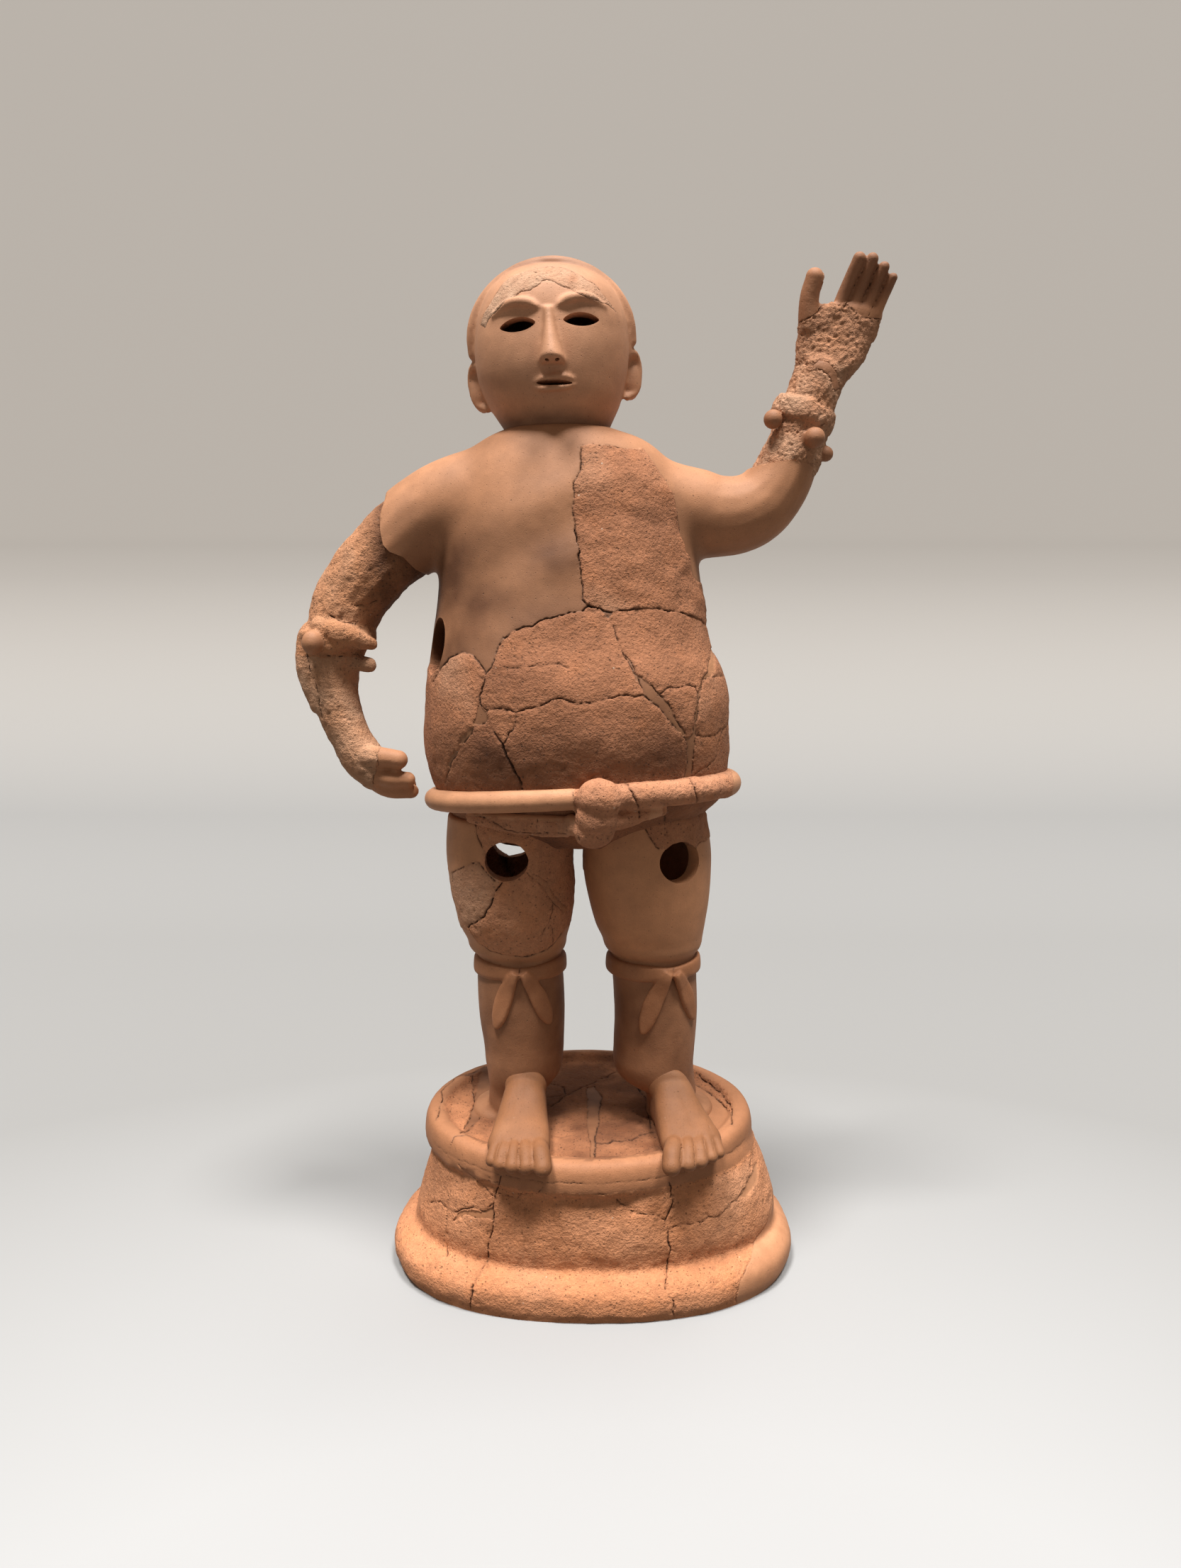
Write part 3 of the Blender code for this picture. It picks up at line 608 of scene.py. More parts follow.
def bar(start, end, radii, around=32):
    """A round or oval stick pushed through the clay from start to end."""
    start, end = Vector(start) * MM, Vector(end) * MM
    along = end - start
    bpy.ops.mesh.primitive_cylinder_add(vertices=around, radius=MM, depth=along.length,
                                        location=(start + end) / 2,
                                        rotation=along.to_track_quat("Z", "Y").to_euler(),
                                        scale=(radii[0], radii[1], 1))
    form = bpy.context.object
    bpy.ops.object.transform_apply(location=True, rotation=True, scale=True)
    form.select_set(False)
    return form


LEG_Y = -5
DEEPER = 1.04       # a leg's depth for its width
KNEE_LIP, SHIN_TOP = 242, 236
LEFT_LEG = ((103, -56, 19.5), (118, -55.5, 20), (125, -55, 20.5), (130, -52.5, 22.8),
            (135, -51, 25), (141, -49.3, 27.3), (150, -49, 28.8), (160, -49, 29.5),
            (190, -50.5, 31.5), (224, -51.3, 31), (231, -51.8, 30.5), (234, -52.5, 33.5),
            (238, -53, 35.5), (243, -53.3, 36.3), (256, -54.5, 41), (280, -56, 44.5),
            (306, -58, 45.5), (334, -57, 45))
RIGHT_LEG = ((103, 60, 18.5), (118, 60, 18.5), (125, 59, 19.5), (130, 54.5, 23), (135, 50.5, 26.5),
             (140, 48, 28.5), (149, 46.5, 29.8), (160, 47, 30), (190, 48, 30.5),
             (224, 46.2, 31), (231, 45.8, 30.5), (234, 45.4, 33.5), (238, 45.2, 35.5),
             (243, 44.8, 36.5), (254, 43, 40), (274, 42, 44), (294, 41, 46),
             (312, 40.5, 45.5), (336, 38, 44))
legs = lute("legs", [coil_up([(z, x, LEG_Y, half, half * DEEPER) for z, x, half in rows], around=48)
                     for rows in (LEFT_LEG, RIGHT_LEG)]
            + [coil_up(((103, x, 4, 21, 28), (109.5, x, 4, 19, 26), (113, x * 0.97, 3, 14, 21),
                        (120, x * 0.92, 0, 9, 15)), around=48) for x in (-68, 72)], 1.75, 2)


def shaft(rows, low=127, high=326):
    """The hollow inside a leg."""
    rows = [row for row in rows if low < row[0] < high]
    rows = [(low,) + rows[0][1:]] + rows + [(high,) + rows[-1][1:]]
    return coil_up([(z, x, LEG_Y, half - THIN_WALL, half * DEEPER - THIN_WALL) for z, x, half in rows],
                   around=32, steps=1)


thigh_holes = [bar((-57, -70, 308), (-59, 60, 306), (15, 14)),
               bar((76.5, -70, 306), (-1.5, 60, 306), (16.3, 14.6))]
carve(legs, [shaft(LEFT_LEG), shaft(RIGHT_LEG)] + thigh_holes)

THIGH_EDGE = [(-80, 341), (-78.5, 331), (-77, 322), (-72.5, 314)]
PALE_TOP = [(-97.5, 287), (-97.5, 294), (-89, 301), (-83, 304.5), (-78, 307), (-75.5, 305), (-70, 299),
            (-65.5, 294)]
PALE_SIDE = [(-60.5, 293), (-65, 285), (-68, 277), (-73.5, 268), (-79, 263.5), (-86, 256)]
STRIP_INNER = [(-42, 301), (-36, 296.5), (-30, 291), (-24.5, 280), (-16, 268)]
STRIP_OUTER = [(-44, 299), (-37.5, 293.5), (-33, 288.5), (-27.5, 278), (-19, 266)]
KNEE_EDGE = [(-86, 256), (-79, 245), (-71, 241), (-57, 238.5), (-48, 237), (-40, 238), (-30, 240),
             (-26, 243), (-20, 250)]
PATCH_SIDE = [(35.5, 336), (37, 329), (42, 321), (46, 316)]
PATCH_LOW = [(66, 316), (73, 314), (75, 317), (84, 317)]
leg_breaks = Breaks(legs, [
    FRONT + (0.45, 1.5, THIGH_EDGE),
    FRONT + (0.45, 1.8, PALE_TOP),
    FRONT + (0.68, 2.8, PALE_SIDE),
    FRONT + (0.3, 0.7, STRIP_INNER),
    FRONT + (0.3, 0.8, STRIP_OUTER),
    FRONT + (0.38, 1.3, [(-26, 276), (-26.5, 270), (-29, 261), (-33, 254)]),
    FRONT + (0.38, 1.3, [(-29, 261), (-27, 257), (-26, 249), (-26, 245)]),
    FRONT + (0.45, 1.4, KNEE_EDGE),
    FRONT + (0.45, 1.4, PATCH_SIDE),
    FRONT + (0.38, 1.3, PATCH_LOW),
    FRONT + (0.38, 1.3, [(49, 338), (52, 332.5), (53, 325)])])
leg_sherds = [(-60, 40, 320), (-40, 42, 285), (-75, 38, 268), (-95, 20, 300), (-58, 40, 245)]


def leg_skin(points):
    x, y, z = points.T
    worn = inside(points, FRONT, [(-80, 345)] + THIGH_EDGE[1:] + [(-75, 307)] + PALE_TOP[4:0:-1]
                  + [(-110, 290), (-110, 250), (-86, 254)] + KNEE_EDGE[1:] + [(-5, 260), (-5, 345)])
    strip = inside(points, FRONT, STRIP_INNER + STRIP_OUTER[::-1])
    right_patch = inside(points, FRONT, [(35.5, 345)] + PATCH_SIDE + PATCH_LOW[:3]
                         + [(100, 317), (100, 345)])
    behind = (y > 0) & (x < -4) & (z > KNEE_LIP)
    seam = np.where((y > 4) & behind, seams(points, leg_sherds, 22), UNBROKEN)
    wear = (worn | right_patch | behind) * 1.0
    wear = np.where(strip, 0.6, wear)
    shin = (z < SHIN_TOP) * (0.10 + 0.15 * np.clip(noise(points, 22, 34), 0, 1))
    wear = np.maximum(wear, shin)
    pale_sherd = inside(points, FRONT, [(-110, 290)] + PALE_TOP[1:7] + [(-62, 294)] + PALE_SIDE[1:]
                        + [(-95, 250), (-110, 255)])
    pale = pale_sherd * 0.5 - 0.12 * strip + 0.2 * noise(points, 30, 35) * (wear > 0.5)
    # The first term paints the shins below the knee lip darker: painted shade under the belly.
    pale -= (0.74 * np.clip((KNEE_LIP - z) / 14, 0, 1) + 0.35 * right_patch
             + 0.2 * worn * (x > -36) * (z > 270))
    return wear, pale, np.where(strip, -0.3, 0) + (wear > 0.5) * 0.3, seam


weather(legs, leg_breaks, leg_skin, 0.9)
legs.data.materials.append(fired_clay("leg_clay", (0.55, 0.255, 0.125), (0.54, 0.24, 0.125)))
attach(legs, "root")
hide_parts("haniwa_wrestler")


# ======== Knee ties ========
# A flat cord of clay laid round each knee in the groove under the thigh, pinched narrow in
# front, where the two leaf-shaped ends of its bow hang down and are pressed on the shin.

TIE_X, TIE_Z = (-51.2, 45.9), 224.5


def draw_out(rings, around, power, place):
    """A strip of so many rings, whose vertex at (a, b) of a ring goes to place(ring, a, b)."""
    bpy.ops.mesh.primitive_circle_add(vertices=around, radius=1, fill_type="NGON")
    form = bpy.context.object
    ring = squared(form, power)
    bpy.ops.object.mode_set(mode="EDIT")
    bpy.ops.mesh.select_all(action="SELECT")
    for _ in range(rings - 1):
        bpy.ops.mesh.extrude_region_move(TRANSFORM_OT_translate={"value": (0, 0, MM)})
    bpy.ops.object.mode_set(mode="OBJECT")
    levels = {}
    for vertex in form.data.vertices:
        levels.setdefault(round(vertex.co.z / MM), []).append(vertex)
    for level, vertices in levels.items():
        for vertex, (a, b) in zip(vertices, ring):
            vertex.co = place(level, a, b) * MM
    bpy.ops.object.mode_set(mode="EDIT")
    set_aside(form)
    return form


def strap(points, half_thick, square=3.0, out=(0, -1, 0)):
    """A flat strip through (x, y, z, half width), its face turned to the given side."""
    rows = smooth_rows(points, 5)
    places = np.array([row[:3] for row in rows])
    ways = np.gradient(places, axis=0)

    def place(level, a, b):
        way = Vector(ways[level]).normalized()
        side = way.cross(Vector(out)).normalized()
        face = side.cross(way).normalized()
        return Vector(places[level]) + side * a * rows[level][3] + face * b * half_thick

    return draw_out(len(rows), 24, 2 / square, place)


def knee_tie(middle_x, half, bow_x):
    """One cord round a knee, narrow at the bow and wider behind it."""
    form = coil_up([(z, middle_x, LEG_Y, half - inward, half - inward)
                    for z, inward in ((216.5, 4), (217.2, 1.4), (219, 0.1), (223, 0), (227, 0.2),
                                      (229.2, 0.9), (229.8, 2.2), (230, 4))], around=64, steps=2)
    for vertex in form.data.vertices:
        near = exp(-((vertex.co.x / MM - bow_x) / 13) ** 2) if vertex.co.y < LEG_Y * MM else 0
        vertex.co.z = (TIE_Z + (vertex.co.z / MM - TIE_Z) * (1 - 0.34 * near)) * MM
    return form


def leaf(rows, middle_x, bow, tip):
    """One leaf-shaped end of a bow, lying on the front of the leg that has the given rows."""
    points = []
    for share, half in ((0.0, 3.0), (0.1, 4.4), (0.3, 6.1), (0.55, 6.8), (0.78, 5.8), (0.9, 4.2),
                        (0.97, 2.6), (1.0, 1.2)):
        x, z = (bow[axis] + (tip[axis] - bow[axis]) * share for axis in (0, 1))
        x += 1.6 * sin(pi * share) * copysign(1, tip[0] - bow[0])
        shin = np.interp(z, [row[0] for row in rows], [row[2] for row in rows])
        reach = shin + 1.1 + 2.8 * np.clip((z - 212) / 10, 0, 1)
        points.append((x, LEG_Y - reach * cos(asin(min(0.98, abs(x - middle_x) / reach))), z, half))
    side = asin((points[4][0] - middle_x) / 33)
    return strap(points, 2.4, square=3.2, out=(sin(side), -cos(side), 0))


knee_ties = lute("knee_ties", [knee_tie(TIE_X[0], 33.9, -50), knee_tie(TIE_X[1], 34.7, 57.5)], 0.9, 1)
carve(knee_ties, [bar((x, LEG_Y, 205), (x, LEG_Y, 240), (28, 28)) for x in TIE_X])
leaves = [leaf(LEFT_LEG, -50, (-53, 225), (-67, 182)), leaf(LEFT_LEG, -50, (-47, 225), (-29.5, 185)),
          leaf(RIGHT_LEG, 47, (55, 225), (37, 179)), leaf(RIGHT_LEG, 47, (61, 224), (73.5, 185))]
knee_ties = lute("knee_ties", [knee_ties] + leaves, 0.95, 1)
tie_breaks = Breaks(knee_ties, [
    FRONT + (0.38, 1.0, [(-50.2, 229), (-50, 217)]),
    FRONT + (0.38, 1.0, [(58.3, 229), (58.2, 216)])])


def tie_skin(points):
    wear = 0.08 + 0.2 * np.clip(noise(points, 15, 46), 0, 1)
    return wear, 0.1 * noise(points, 20, 47), noise(points, 9, 48) * 0.25, UNBROKEN


weather(knee_ties, tie_breaks, tie_skin, 0.6, levels=(0.3,))
knee_ties.data.materials.append(fired_clay("tie_clay", (0.38, 0.158, 0.07), (0.34, 0.137, 0.063)))
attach(knee_ties, "root")
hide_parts("haniwa_wrestler")


# ======== Feet ========
# A wedge of clay for each foot, its instep pressed up the shin in a rounded tongue. The toes
# are short rolls, parted with a stick, that rest on the rim of the plate.

def pellet(centre, radii, turn=0.0):
    """A pellet of clay pressed to an egg, turned about y."""
    bpy.ops.mesh.primitive_uv_sphere_add(segments=24, ring_count=16, radius=MM,
                                         location=Vector(centre) * MM,
                                         rotation=(0, turn, 0), scale=radii)
    form = bpy.context.object
    bpy.ops.object.transform_apply(location=True, rotation=True, scale=True)
    form.select_set(False)
    return form


def roll(points, closed=False):
    """A bent roll of clay through (x, y, z, radius), rounded at free ends."""
    bpy.ops.curve.primitive_bezier_curve_add(location=(0, 0, 0))
    form = bpy.context.object
    curve = form.data
    curve.bevel_depth = MM
    curve.bevel_resolution = 6
    curve.resolution_u = 8
    curve.use_fill_caps = True
    spline = curve.splines[0]
    spline.bezier_points.add(len(points) - 2)
    spline.use_cyclic_u = closed
    for knot, (x, y, z, radius) in zip(spline.bezier_points, points):
        knot.co = Vector((x, y, z)) * MM
        knot.radius = radius
        knot.handle_left_type = "AUTO"
        knot.handle_right_type = "AUTO"
    bpy.ops.object.convert(target="MESH")
    form = bpy.context.object
    form.select_set(False)
    if closed:
        return [form]
    return [form] + [pellet((x, y, z), (radius,) * 3) for x, y, z, radius in (points[0], points[-1])]


def foot(tongue_x, toes, turn):
    """One foot and the lines that part its toes. Toes are x, y and radius at their tips."""
    middle_x = (toes[0][0] + toes[-1][0]) / 2
    middle_y = (toes[0][1] + toes[-1][1]) / 2 + 12
    points = []
    for share, half, top in ((0.0, 13, 28), (0.16, 15, 37), (0.34, 16.5, 33.5), (0.52, 18.5, 25.5),
                             (0.75, 20.5, 18.5), (0.9, 21.5, 14.5), (1.0, 20, 11.5)):
        x = tongue_x + (middle_x - tongue_x) * share
        y = -22 + (middle_y + 22) * share
        points.append((x, y, 106.5 + top / 2, half, (top + 7) / 2))
    rings = smooth_rows(points, 4)
    side = Matrix.Rotation(turn, 3, "Z") @ Vector((1, 0, 0))

    def place(level, a, b):
        x, y, z, half, rise = rings[level]
        return Vector((x, y, z)) + side * a * half + Vector((0, 0, b * rise))

    forms = [draw_out(len(rings), 32, 0.83, place), pellet((tongue_x, -31.5, 137.5), (15, 7, 14))]
    axes = []
    for x, y, radius in toes:
        inward = Vector((middle_x - x, middle_y + 13 - y, 0)).normalized().x * 20
        axes.append(((x, y - 7), (x + inward * 0.3, y + 14)))
        forms += roll(((x + inward * 0.4, y + 22, 117.5 - radius * 0.3, radius * 0.9),
                       (x + inward * 0.18, y + 9, 115.2, radius),
                       (x, y, 109.5, radius * 0.96)))
    parts = [[((a[0] + b[0]) / 2, (a[1] + b[1]) / 2) for a, b in zip(one, other)]
             for one, other in zip(axes, axes[1:])]
    return forms, parts


left_foot, left_parts = foot(-46.5, ((-31.8, -97.5, 6.5), (-43, -95.5, 5.7), (-52.3, -95, 5.3),
                                     (-60.5, -92, 4.9), (-66.8, -87.5, 4.2)), 0.0)
right_foot, right_parts = foot(56, ((54, -96, 6.7), (65.6, -92.5, 5.8), (74.6, -88, 5.3),
                                    (82, -82.5, 4.8), (88.2, -76.5, 4.1)), radians(14))
feet = lute("feet", left_foot + right_foot, 1.15, 1)
foot_breaks = Breaks(feet, [TOP + (0.4, 1.0, line) for line in left_parts + right_parts])


def foot_skin(points):
    wear = 0.08 + 0.2 * np.clip(noise(points, 18, 49), 0, 1)
    return wear, 0.1 * noise(points, 25, 50), noise(points, 12, 51) * 0.4, UNBROKEN


weather(feet, foot_breaks, foot_skin, 0.6, levels=(0.5,), line_darkness=0.2)
# The feet's clay is much darker than the legs': partly darker new clay, partly painted shade from the
# belly above.
feet.data.materials.append(fired_clay("foot_clay", (0.235, 0.094, 0.037), (0.21, 0.086, 0.035)))
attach(feet, "root")
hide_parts("haniwa_wrestler")


# ======== Trunk and shoulders ========
# A heavy hollow barrel with a rounded belly, the shoulders drawn out to the stumps of both
# arms. One half of the chest and both shoulders are new clay, the rest is sherds.

def slab(outline, front, back):
    """A flat cutter with the given outline in x and z, from front to back in y."""
    bpy.ops.mesh.primitive_circle_add(vertices=len(outline), radius=1, fill_type="NGON",
                                      location=(0, 0, 0))
    form = bpy.context.object
    for vertex, (x, z) in zip(form.data.vertices, outline):
        vertex.co = Vector((x, front, z)) * MM
    bpy.ops.object.mode_set(mode="EDIT")
    bpy.ops.mesh.select_all(action="SELECT")
    bpy.ops.mesh.extrude_region_move(TRANSFORM_OT_translate={"value": (0, (back - front) * MM, 0)})
    set_aside(form)
    return form


TRUNK_WALL = 12         # how far the hollow stays inside the skin
TRUNK_MIDDLE = -2       # the y that parts the trunk's front from its back
TRUNK = ((314, -8, -3, 58, 34), (324, -9, -3, 79, 47), (337, -9, -3, 92, 61),
         (350, -7, -3, 102, 75), (372, -9, -4, 106, 80), (392, -10, -5, 107, 83),
         (416, -9.5, -5, 106, 82), (437, -11, -4, 102, 79), (455, -14, -2, 96.5, 74),
         (485, -14, 0, 92.5, 68), (515, -15, 0, 89, 64), (545, -17, 1, 86, 59),
         (568, -18, 1, 79, 52), (583, -18, 1, 67, 46), (592, -19, 1, 55, 41),
         (598, -21, 1, 38, 36))
LOWERED_ARM = ((-58, 0, 549, 43), (-88, 0, 546, 38), (-112, 0, 538, 33.5), (-135, -2, 521, 29.5),
               (-154, -4, 502, 26.5), (-169, -6, 480, 24), (-176, -9, 458, 22),
               (-179, -12, 432, 18), (-176, -15, 410, 15.5), (-168, -17, 390, 14.5),
               (-159, -19, 375, 14.5), (-150, -20, 364, 13))
RAISED_ARM = ((16, 0, 547, 43), (44, 0, 545, 36), (70, 0, 543, 31.5), (92, -1, 541, 27.5),
              (112, -2, 546, 25.5), (126, -3, 559, 23), (136, -4, 578, 20.5), (145, -5, 602, 18),
              (151, -5, 620, 17.5), (155, -5, 634, 16))

forms = [coil_up(TRUNK, square=2.15, around=96)]
forms += roll(LOWERED_ARM[:6])
forms += roll(RAISED_ARM[:8])
trunk = lute("trunk", forms, 2.2, 3)
shoulder_joins = trunk.vertex_groups.new(name="shoulder_joins")
for vertex in trunk.data.vertices:
    x, _, z = vertex.co / MM
    if z > 490:
        near = exp(-((x + 89) / 22) ** 2) + exp(-((x - 60) / 18) ** 2)
        shoulder_joins.add([vertex.index], near, "REPLACE")
rub(trunk, 90, shoulder_joins.name)
trunk_hollow = coil_up([(z, x, y, wide - TRUNK_WALL, deep - TRUNK_WALL)
                        for z, x, y, wide, deep in TRUNK if 337 <= z < 590],
                       square=2.15, around=48, steps=2)
flank_holes = [bar((-132, -62, 460), (-83, -5, 446), (12.5, 20)),
               bar((110, 10, 460), (60, 6, 460), (20, 20))]
lowered_break = slab([(-139, 580), (-139, 551), (-141, 541), (-141, 530), (-139, 520), (-135, 515.5),
                      (-126, 512), (-119, 504.5), (-113, 501), (-113, 470), (-124, 452), (-230, 440),
                      (-230, 580)], -80, 80)
raised_break = slab([(98, 569), (106, 572), (115, 574), (125, 575), (134, 576), (141.5, 575),
                     (147, 574), (152, 571), (175, 571), (175, 680), (98, 680)], -80, 80)
carve(trunk, [trunk_hollow, lowered_break, raised_break] + flank_holes)

CHEST_MIDDLE = [(-7, 582.5), (-6.3, 566), (-10.8, 557), (-11, 545), (-10.5, 533), (-7.7, 518)]
CHEST_LOW = [(-7.7, 518), (-6.4, 502), (-5, 484), (-3, 481)]
CHEST_TOP = [(-7, 582.5), (1, 583.5), (12, 583), (23, 581), (30, 581), (35, 583), (36.5, 580)]
CHEST_SIDE = [(36.5, 580), (40.5, 574), (49.5, 562), (55, 551), (58, 541), (61, 526), (63.5, 515)]
CHEST_STEP = [(63.5, 515), (67, 511), (68, 503), (69.5, 498), (76, 494), (84, 490)]
BELLY_TOP = [(-56, 459), (-49, 464), (-37, 467), (-24.5, 473), (-12.5, 475.5), (-4.5, 476.5), (-1, 479),
             (5, 478), (12.5, 475), (22.5, 477), (36, 478), (46, 477), (60.5, 475), (69, 472), (84, 465)]
BELLY_STEP = [(-56.5, 459.5), (-59.5, 454.5), (-61, 448), (-64, 440), (-67, 436)]
FLANK_TOP = [(-67, 436), (-71.5, 443), (-76, 447.5), (-82, 449.5), (-90, 447), (-95, 444.5), (-101, 438),
             (-106, 429)]
trunk_breaks = Breaks(trunk, [
    FRONT + (0.45, 1.5, CHEST_MIDDLE),
    FRONT + (0.6, 2.2, [(-10.5, 530), (-7.7, 518), (-7, 508)]),
    FRONT + (0.45, 1.6, CHEST_LOW),
    FRONT + (0.38, 1.1, CHEST_TOP),
    FRONT + (0.3, 0.4, CHEST_SIDE),
    FRONT + (0.38, 1.2, CHEST_STEP),
    FRONT + (0.52, 2.0, BELLY_TOP),
    FRONT + (0.9, 3.2, [(-1.5, 479), (5, 478)]),
    FRONT + (0.3, 0.8, [(6, 477), (11, 471.5), (14, 475)]),
    FRONT + (0.45, 1.3, BELLY_STEP),
    FRONT + (0.45, 1.4, FLANK_TOP),
    FRONT + (0.52, 2.0, [(-67, 436), (-69, 429), (-72, 421.5), (-72, 417)]),
    FRONT + (0.45, 1.6, [(-72, 417), (-66.5, 413), (-57, 414), (-51.5, 413.5), (-48, 412.5),
                        (-42, 414.5), (-32.5, 416), (-24.5, 420), (-21.5, 421), (-15, 420), (-8, 418),
                        (5, 419), (11.5, 421), (19.5, 423), (28, 422), (34, 422.5), (39.5, 420)]),
    FRONT + (0.3, 1.0, [(-72, 417), (-76, 403)]),
    FRONT + (0.52, 1.8, [(-66.5, 412.5), (-66, 406), (-63, 400), (-60.5, 396), (-57, 392)]),
    FRONT + (0.9, 3.4, [(-57, 392), (-56, 388), (-53, 383), (-50, 376), (-46.5, 369.5), (-43, 358)]),
    FRONT + (0.45, 1.4, [(-48, 412.5), (-48, 407), (-50, 402), (-53, 396), (-56, 392)]),
    FRONT + (0.45, 1.5, [(-67, 405), (-75, 403), (-78, 397), (-83.5, 390), (-87, 384), (-91, 379),
                        (-94, 373), (-98.5, 362)]),
    FRONT + (0.45, 1.7, [(11, 473), (15.5, 465), (17, 458.5), (19.5, 452), (21.5, 446.5), (26.5, 439),
                        (30.5, 434), (33, 427), (34.5, 422.5)]),
    FRONT + (0.38, 1.2, [(21, 449), (26, 443), (29, 437), (37, 430), (44.5, 423.5), (51, 416),
                        (62, 396)]),
    FRONT + (0.38, 1.2, [(35, 422), (41, 418), (53, 404), (60, 395), (61.5, 394)]),
    FRONT + (0.45, 1.4, [(44.5, 423.5), (50, 427), (55.5, 427.5), (65, 427.5), (68.5, 427), (70.5, 423),
                        (70, 417), (68, 410), (67.5, 402.5), (67, 397), (65, 394)]),
    FRONT + (0.38, 1.2, [(61.5, 394), (63.5, 388), (63.5, 377.5), (61.5, 366), (61, 358)]),
    FRONT + (0.38, 1.2, [(73.5, 431), (73.5, 425), (70.5, 414), (69, 401), (69, 390), (67.5, 379.5),
                        (66.5, 358)]),
    FRONT + (0.45, 1.3, [(73.5, 431), (80.5, 433), (90, 432), (98, 431)]),
    FRONT + (0.3, 1.0, [(73.5, 431), (79, 437), (81, 446), (84, 455)]),
    FRONT + (0.38, 1.2, [(69, 395.5), (81.5, 393.5), (87.5, 395.5), (97, 399)]),
    FRONT + (0.38, 1.2, [(91, 397), (89, 394), (84.5, 379), (77.5, 373), (69, 369), (66, 364)]),
    FRONT + (0.38, 0.7, [(-54, 439), (-40.5, 441), (-20, 443), (-14, 440.5)]),
    FRONT + (0.3, 1.2, [(-35, 343), (-35, 334)]),
    FRONT + (0.45, 1.4, [(49, 342), (52, 332.5), (53, 322)])])
PANEL = (CHEST_TOP + CHEST_SIDE[1:] + CHEST_STEP[1:] + [(110, 492), (110, 462)] + BELLY_TOP[:5:-1]
         + CHEST_LOW[:0:-1] + CHEST_MIDDLE[:0:-1])
BELLY = (BELLY_TOP + [(115, 462), (115, 300), (-130, 300), (-130, 438)] + FLANK_TOP[6::-1]
         + BELLY_STEP[3:0:-1])
trunk_fills = [[(21, 449), (26, 443), (29, 437), (37, 430), (44.5, 423.5), (51, 416), (62, 396),
                (60, 395), (53, 404), (41, 418), (35, 422), (33, 427), (31, 430), (26, 439)],
               [(61.5, 394), (63.5, 388), (63.5, 377.5), (61.5, 366), (61, 350), (67, 350),
                (66.5, 366), (67.5, 379.5), (69, 390), (69, 401), (70.5, 414), (73.5, 425), (73.5, 431),
                (70.5, 423), (70, 417), (68, 410), (67.5, 402.5), (67, 397), (65, 394)],
               [(73.5, 431), (80.5, 433), (84, 436), (86, 448), (84, 455), (81, 446), (79, 437)],
               [(-72, 417), (-67, 412), (-67, 405), (-76, 403)],
               [(-76, 401), (-78, 397), (-83.5, 390), (-86, 391), (-80, 400)],
               [(-87, 384), (-91, 379), (-94, 373), (-96, 374), (-92, 382), (-88, 386)],
               [(6, 477), (11, 471.5), (14, 475)]]
back_sherds = [(60, 75, 350), (10, 80, 380), (70, 70, 420), (20, 80, 440), (60, 65, 470), (-30, 80, 350),
               (92, 30, 380), (95, 10, 430), (-35, 80, 410), (10, 66, 500)]
BACK_WORN = [(-52, 300), (-58, 345), (-50, 372), (-57, 398), (-48, 428), (-25, 450), (-10, 478),
             (-14, 505), (8, 522), (34, 516), (48, 497), (66, 500), (84, 490), (120, 492), (120, 300)]


def trunk_skin(points):
    x, y, z = points.T
    filled = np.zeros(len(points), bool)
    for outline in trunk_fills:
        filled |= inside(points, FRONT, outline)
    panel = inside(points, FRONT, PANEL, split=TRUNK_MIDDLE)
    belly = inside(points, FRONT, BELLY, split=TRUNK_MIDDLE)
    behind = inside(points, BACK, BACK_WORN, split=TRUNK_MIDDLE)
    wear = ((panel | belly | behind) & ~filled) * 1.0
    seam = np.where(behind & (y > 2), seams(points, back_sherds, 23), UNBROKEN)
    orange = inside(points, FRONT, [(-66.5, 412.5), (-48, 412.5), (-48, 407), (-50, 402), (-56, 392)])
    grey = inside(points, FRONT, [(-67, 405), (-75, 403), (-98.5, 362), (-98, 340), (-43, 340), (-43, 358),
                                  (-57, 392)])
    low = np.clip((430 - z) / 90, 0, 1)
    pale = np.where(panel, 0.04, -0.22) + 0.28 * noise(points, 36, 36) * wear
    # The belly's flanks on both sides are lighter: painted light.
    pale += 0.24 * np.clip((np.abs(x + 5) - 62) / 12, 0, 1) * belly
    # A darker band across the chest panel under its fold: painted shade.
    pale -= 0.4 * panel * np.exp(-((z - 533) / 15) ** 2)
    # The grey sherd keeps its own darker tone. The belly is painted darker towards the bottom, where it
    # turns under: painted shade.
    pale = pale - 0.35 * grey - 0.4 * low * belly + 0.25 * np.clip(noise(points, 60, 37), 0, 1) * wear
    pale = np.where(orange, -0.02, pale) * wear
    # The smooth new clay of the chest is painted darker downwards from the collar: painted shade.
    pale -= (0.95 * np.clip((552 - z) / 45, 0, 1) * (0.8 + 0.6 * noise(points, 34, 55)) * (wear < 0.5)
             * np.clip((110 - np.abs(x + 30)) / 20, 0, 1) * np.clip((20 - y) / 30, 0, 1))
    ripple = noise(points * np.array((0.4, 1, 1.25)), 13, 38) * 0.7 * panel
    rise = np.where(wear > 0.5, 0.5, 0) + 0.5 * panel + ripple + noise(points, 30, 39) * 0.7 * belly
    chest = np.exp(-((x + 12) / 62) ** 2) * (y < 0)
    across = z - np.where(x < -8, 0.5 * (x + 8), 0)
    rise += chest * (1.5 * np.exp(-((across - 560) / 14) ** 2) - 1.9 * np.exp(-((across - 534) / 14) ** 2)
                     + 0.5 * np.exp(-((across - 512) / 10) ** 2) * (x < -8))
    return wear, pale, rise - filled * 0.2, seam


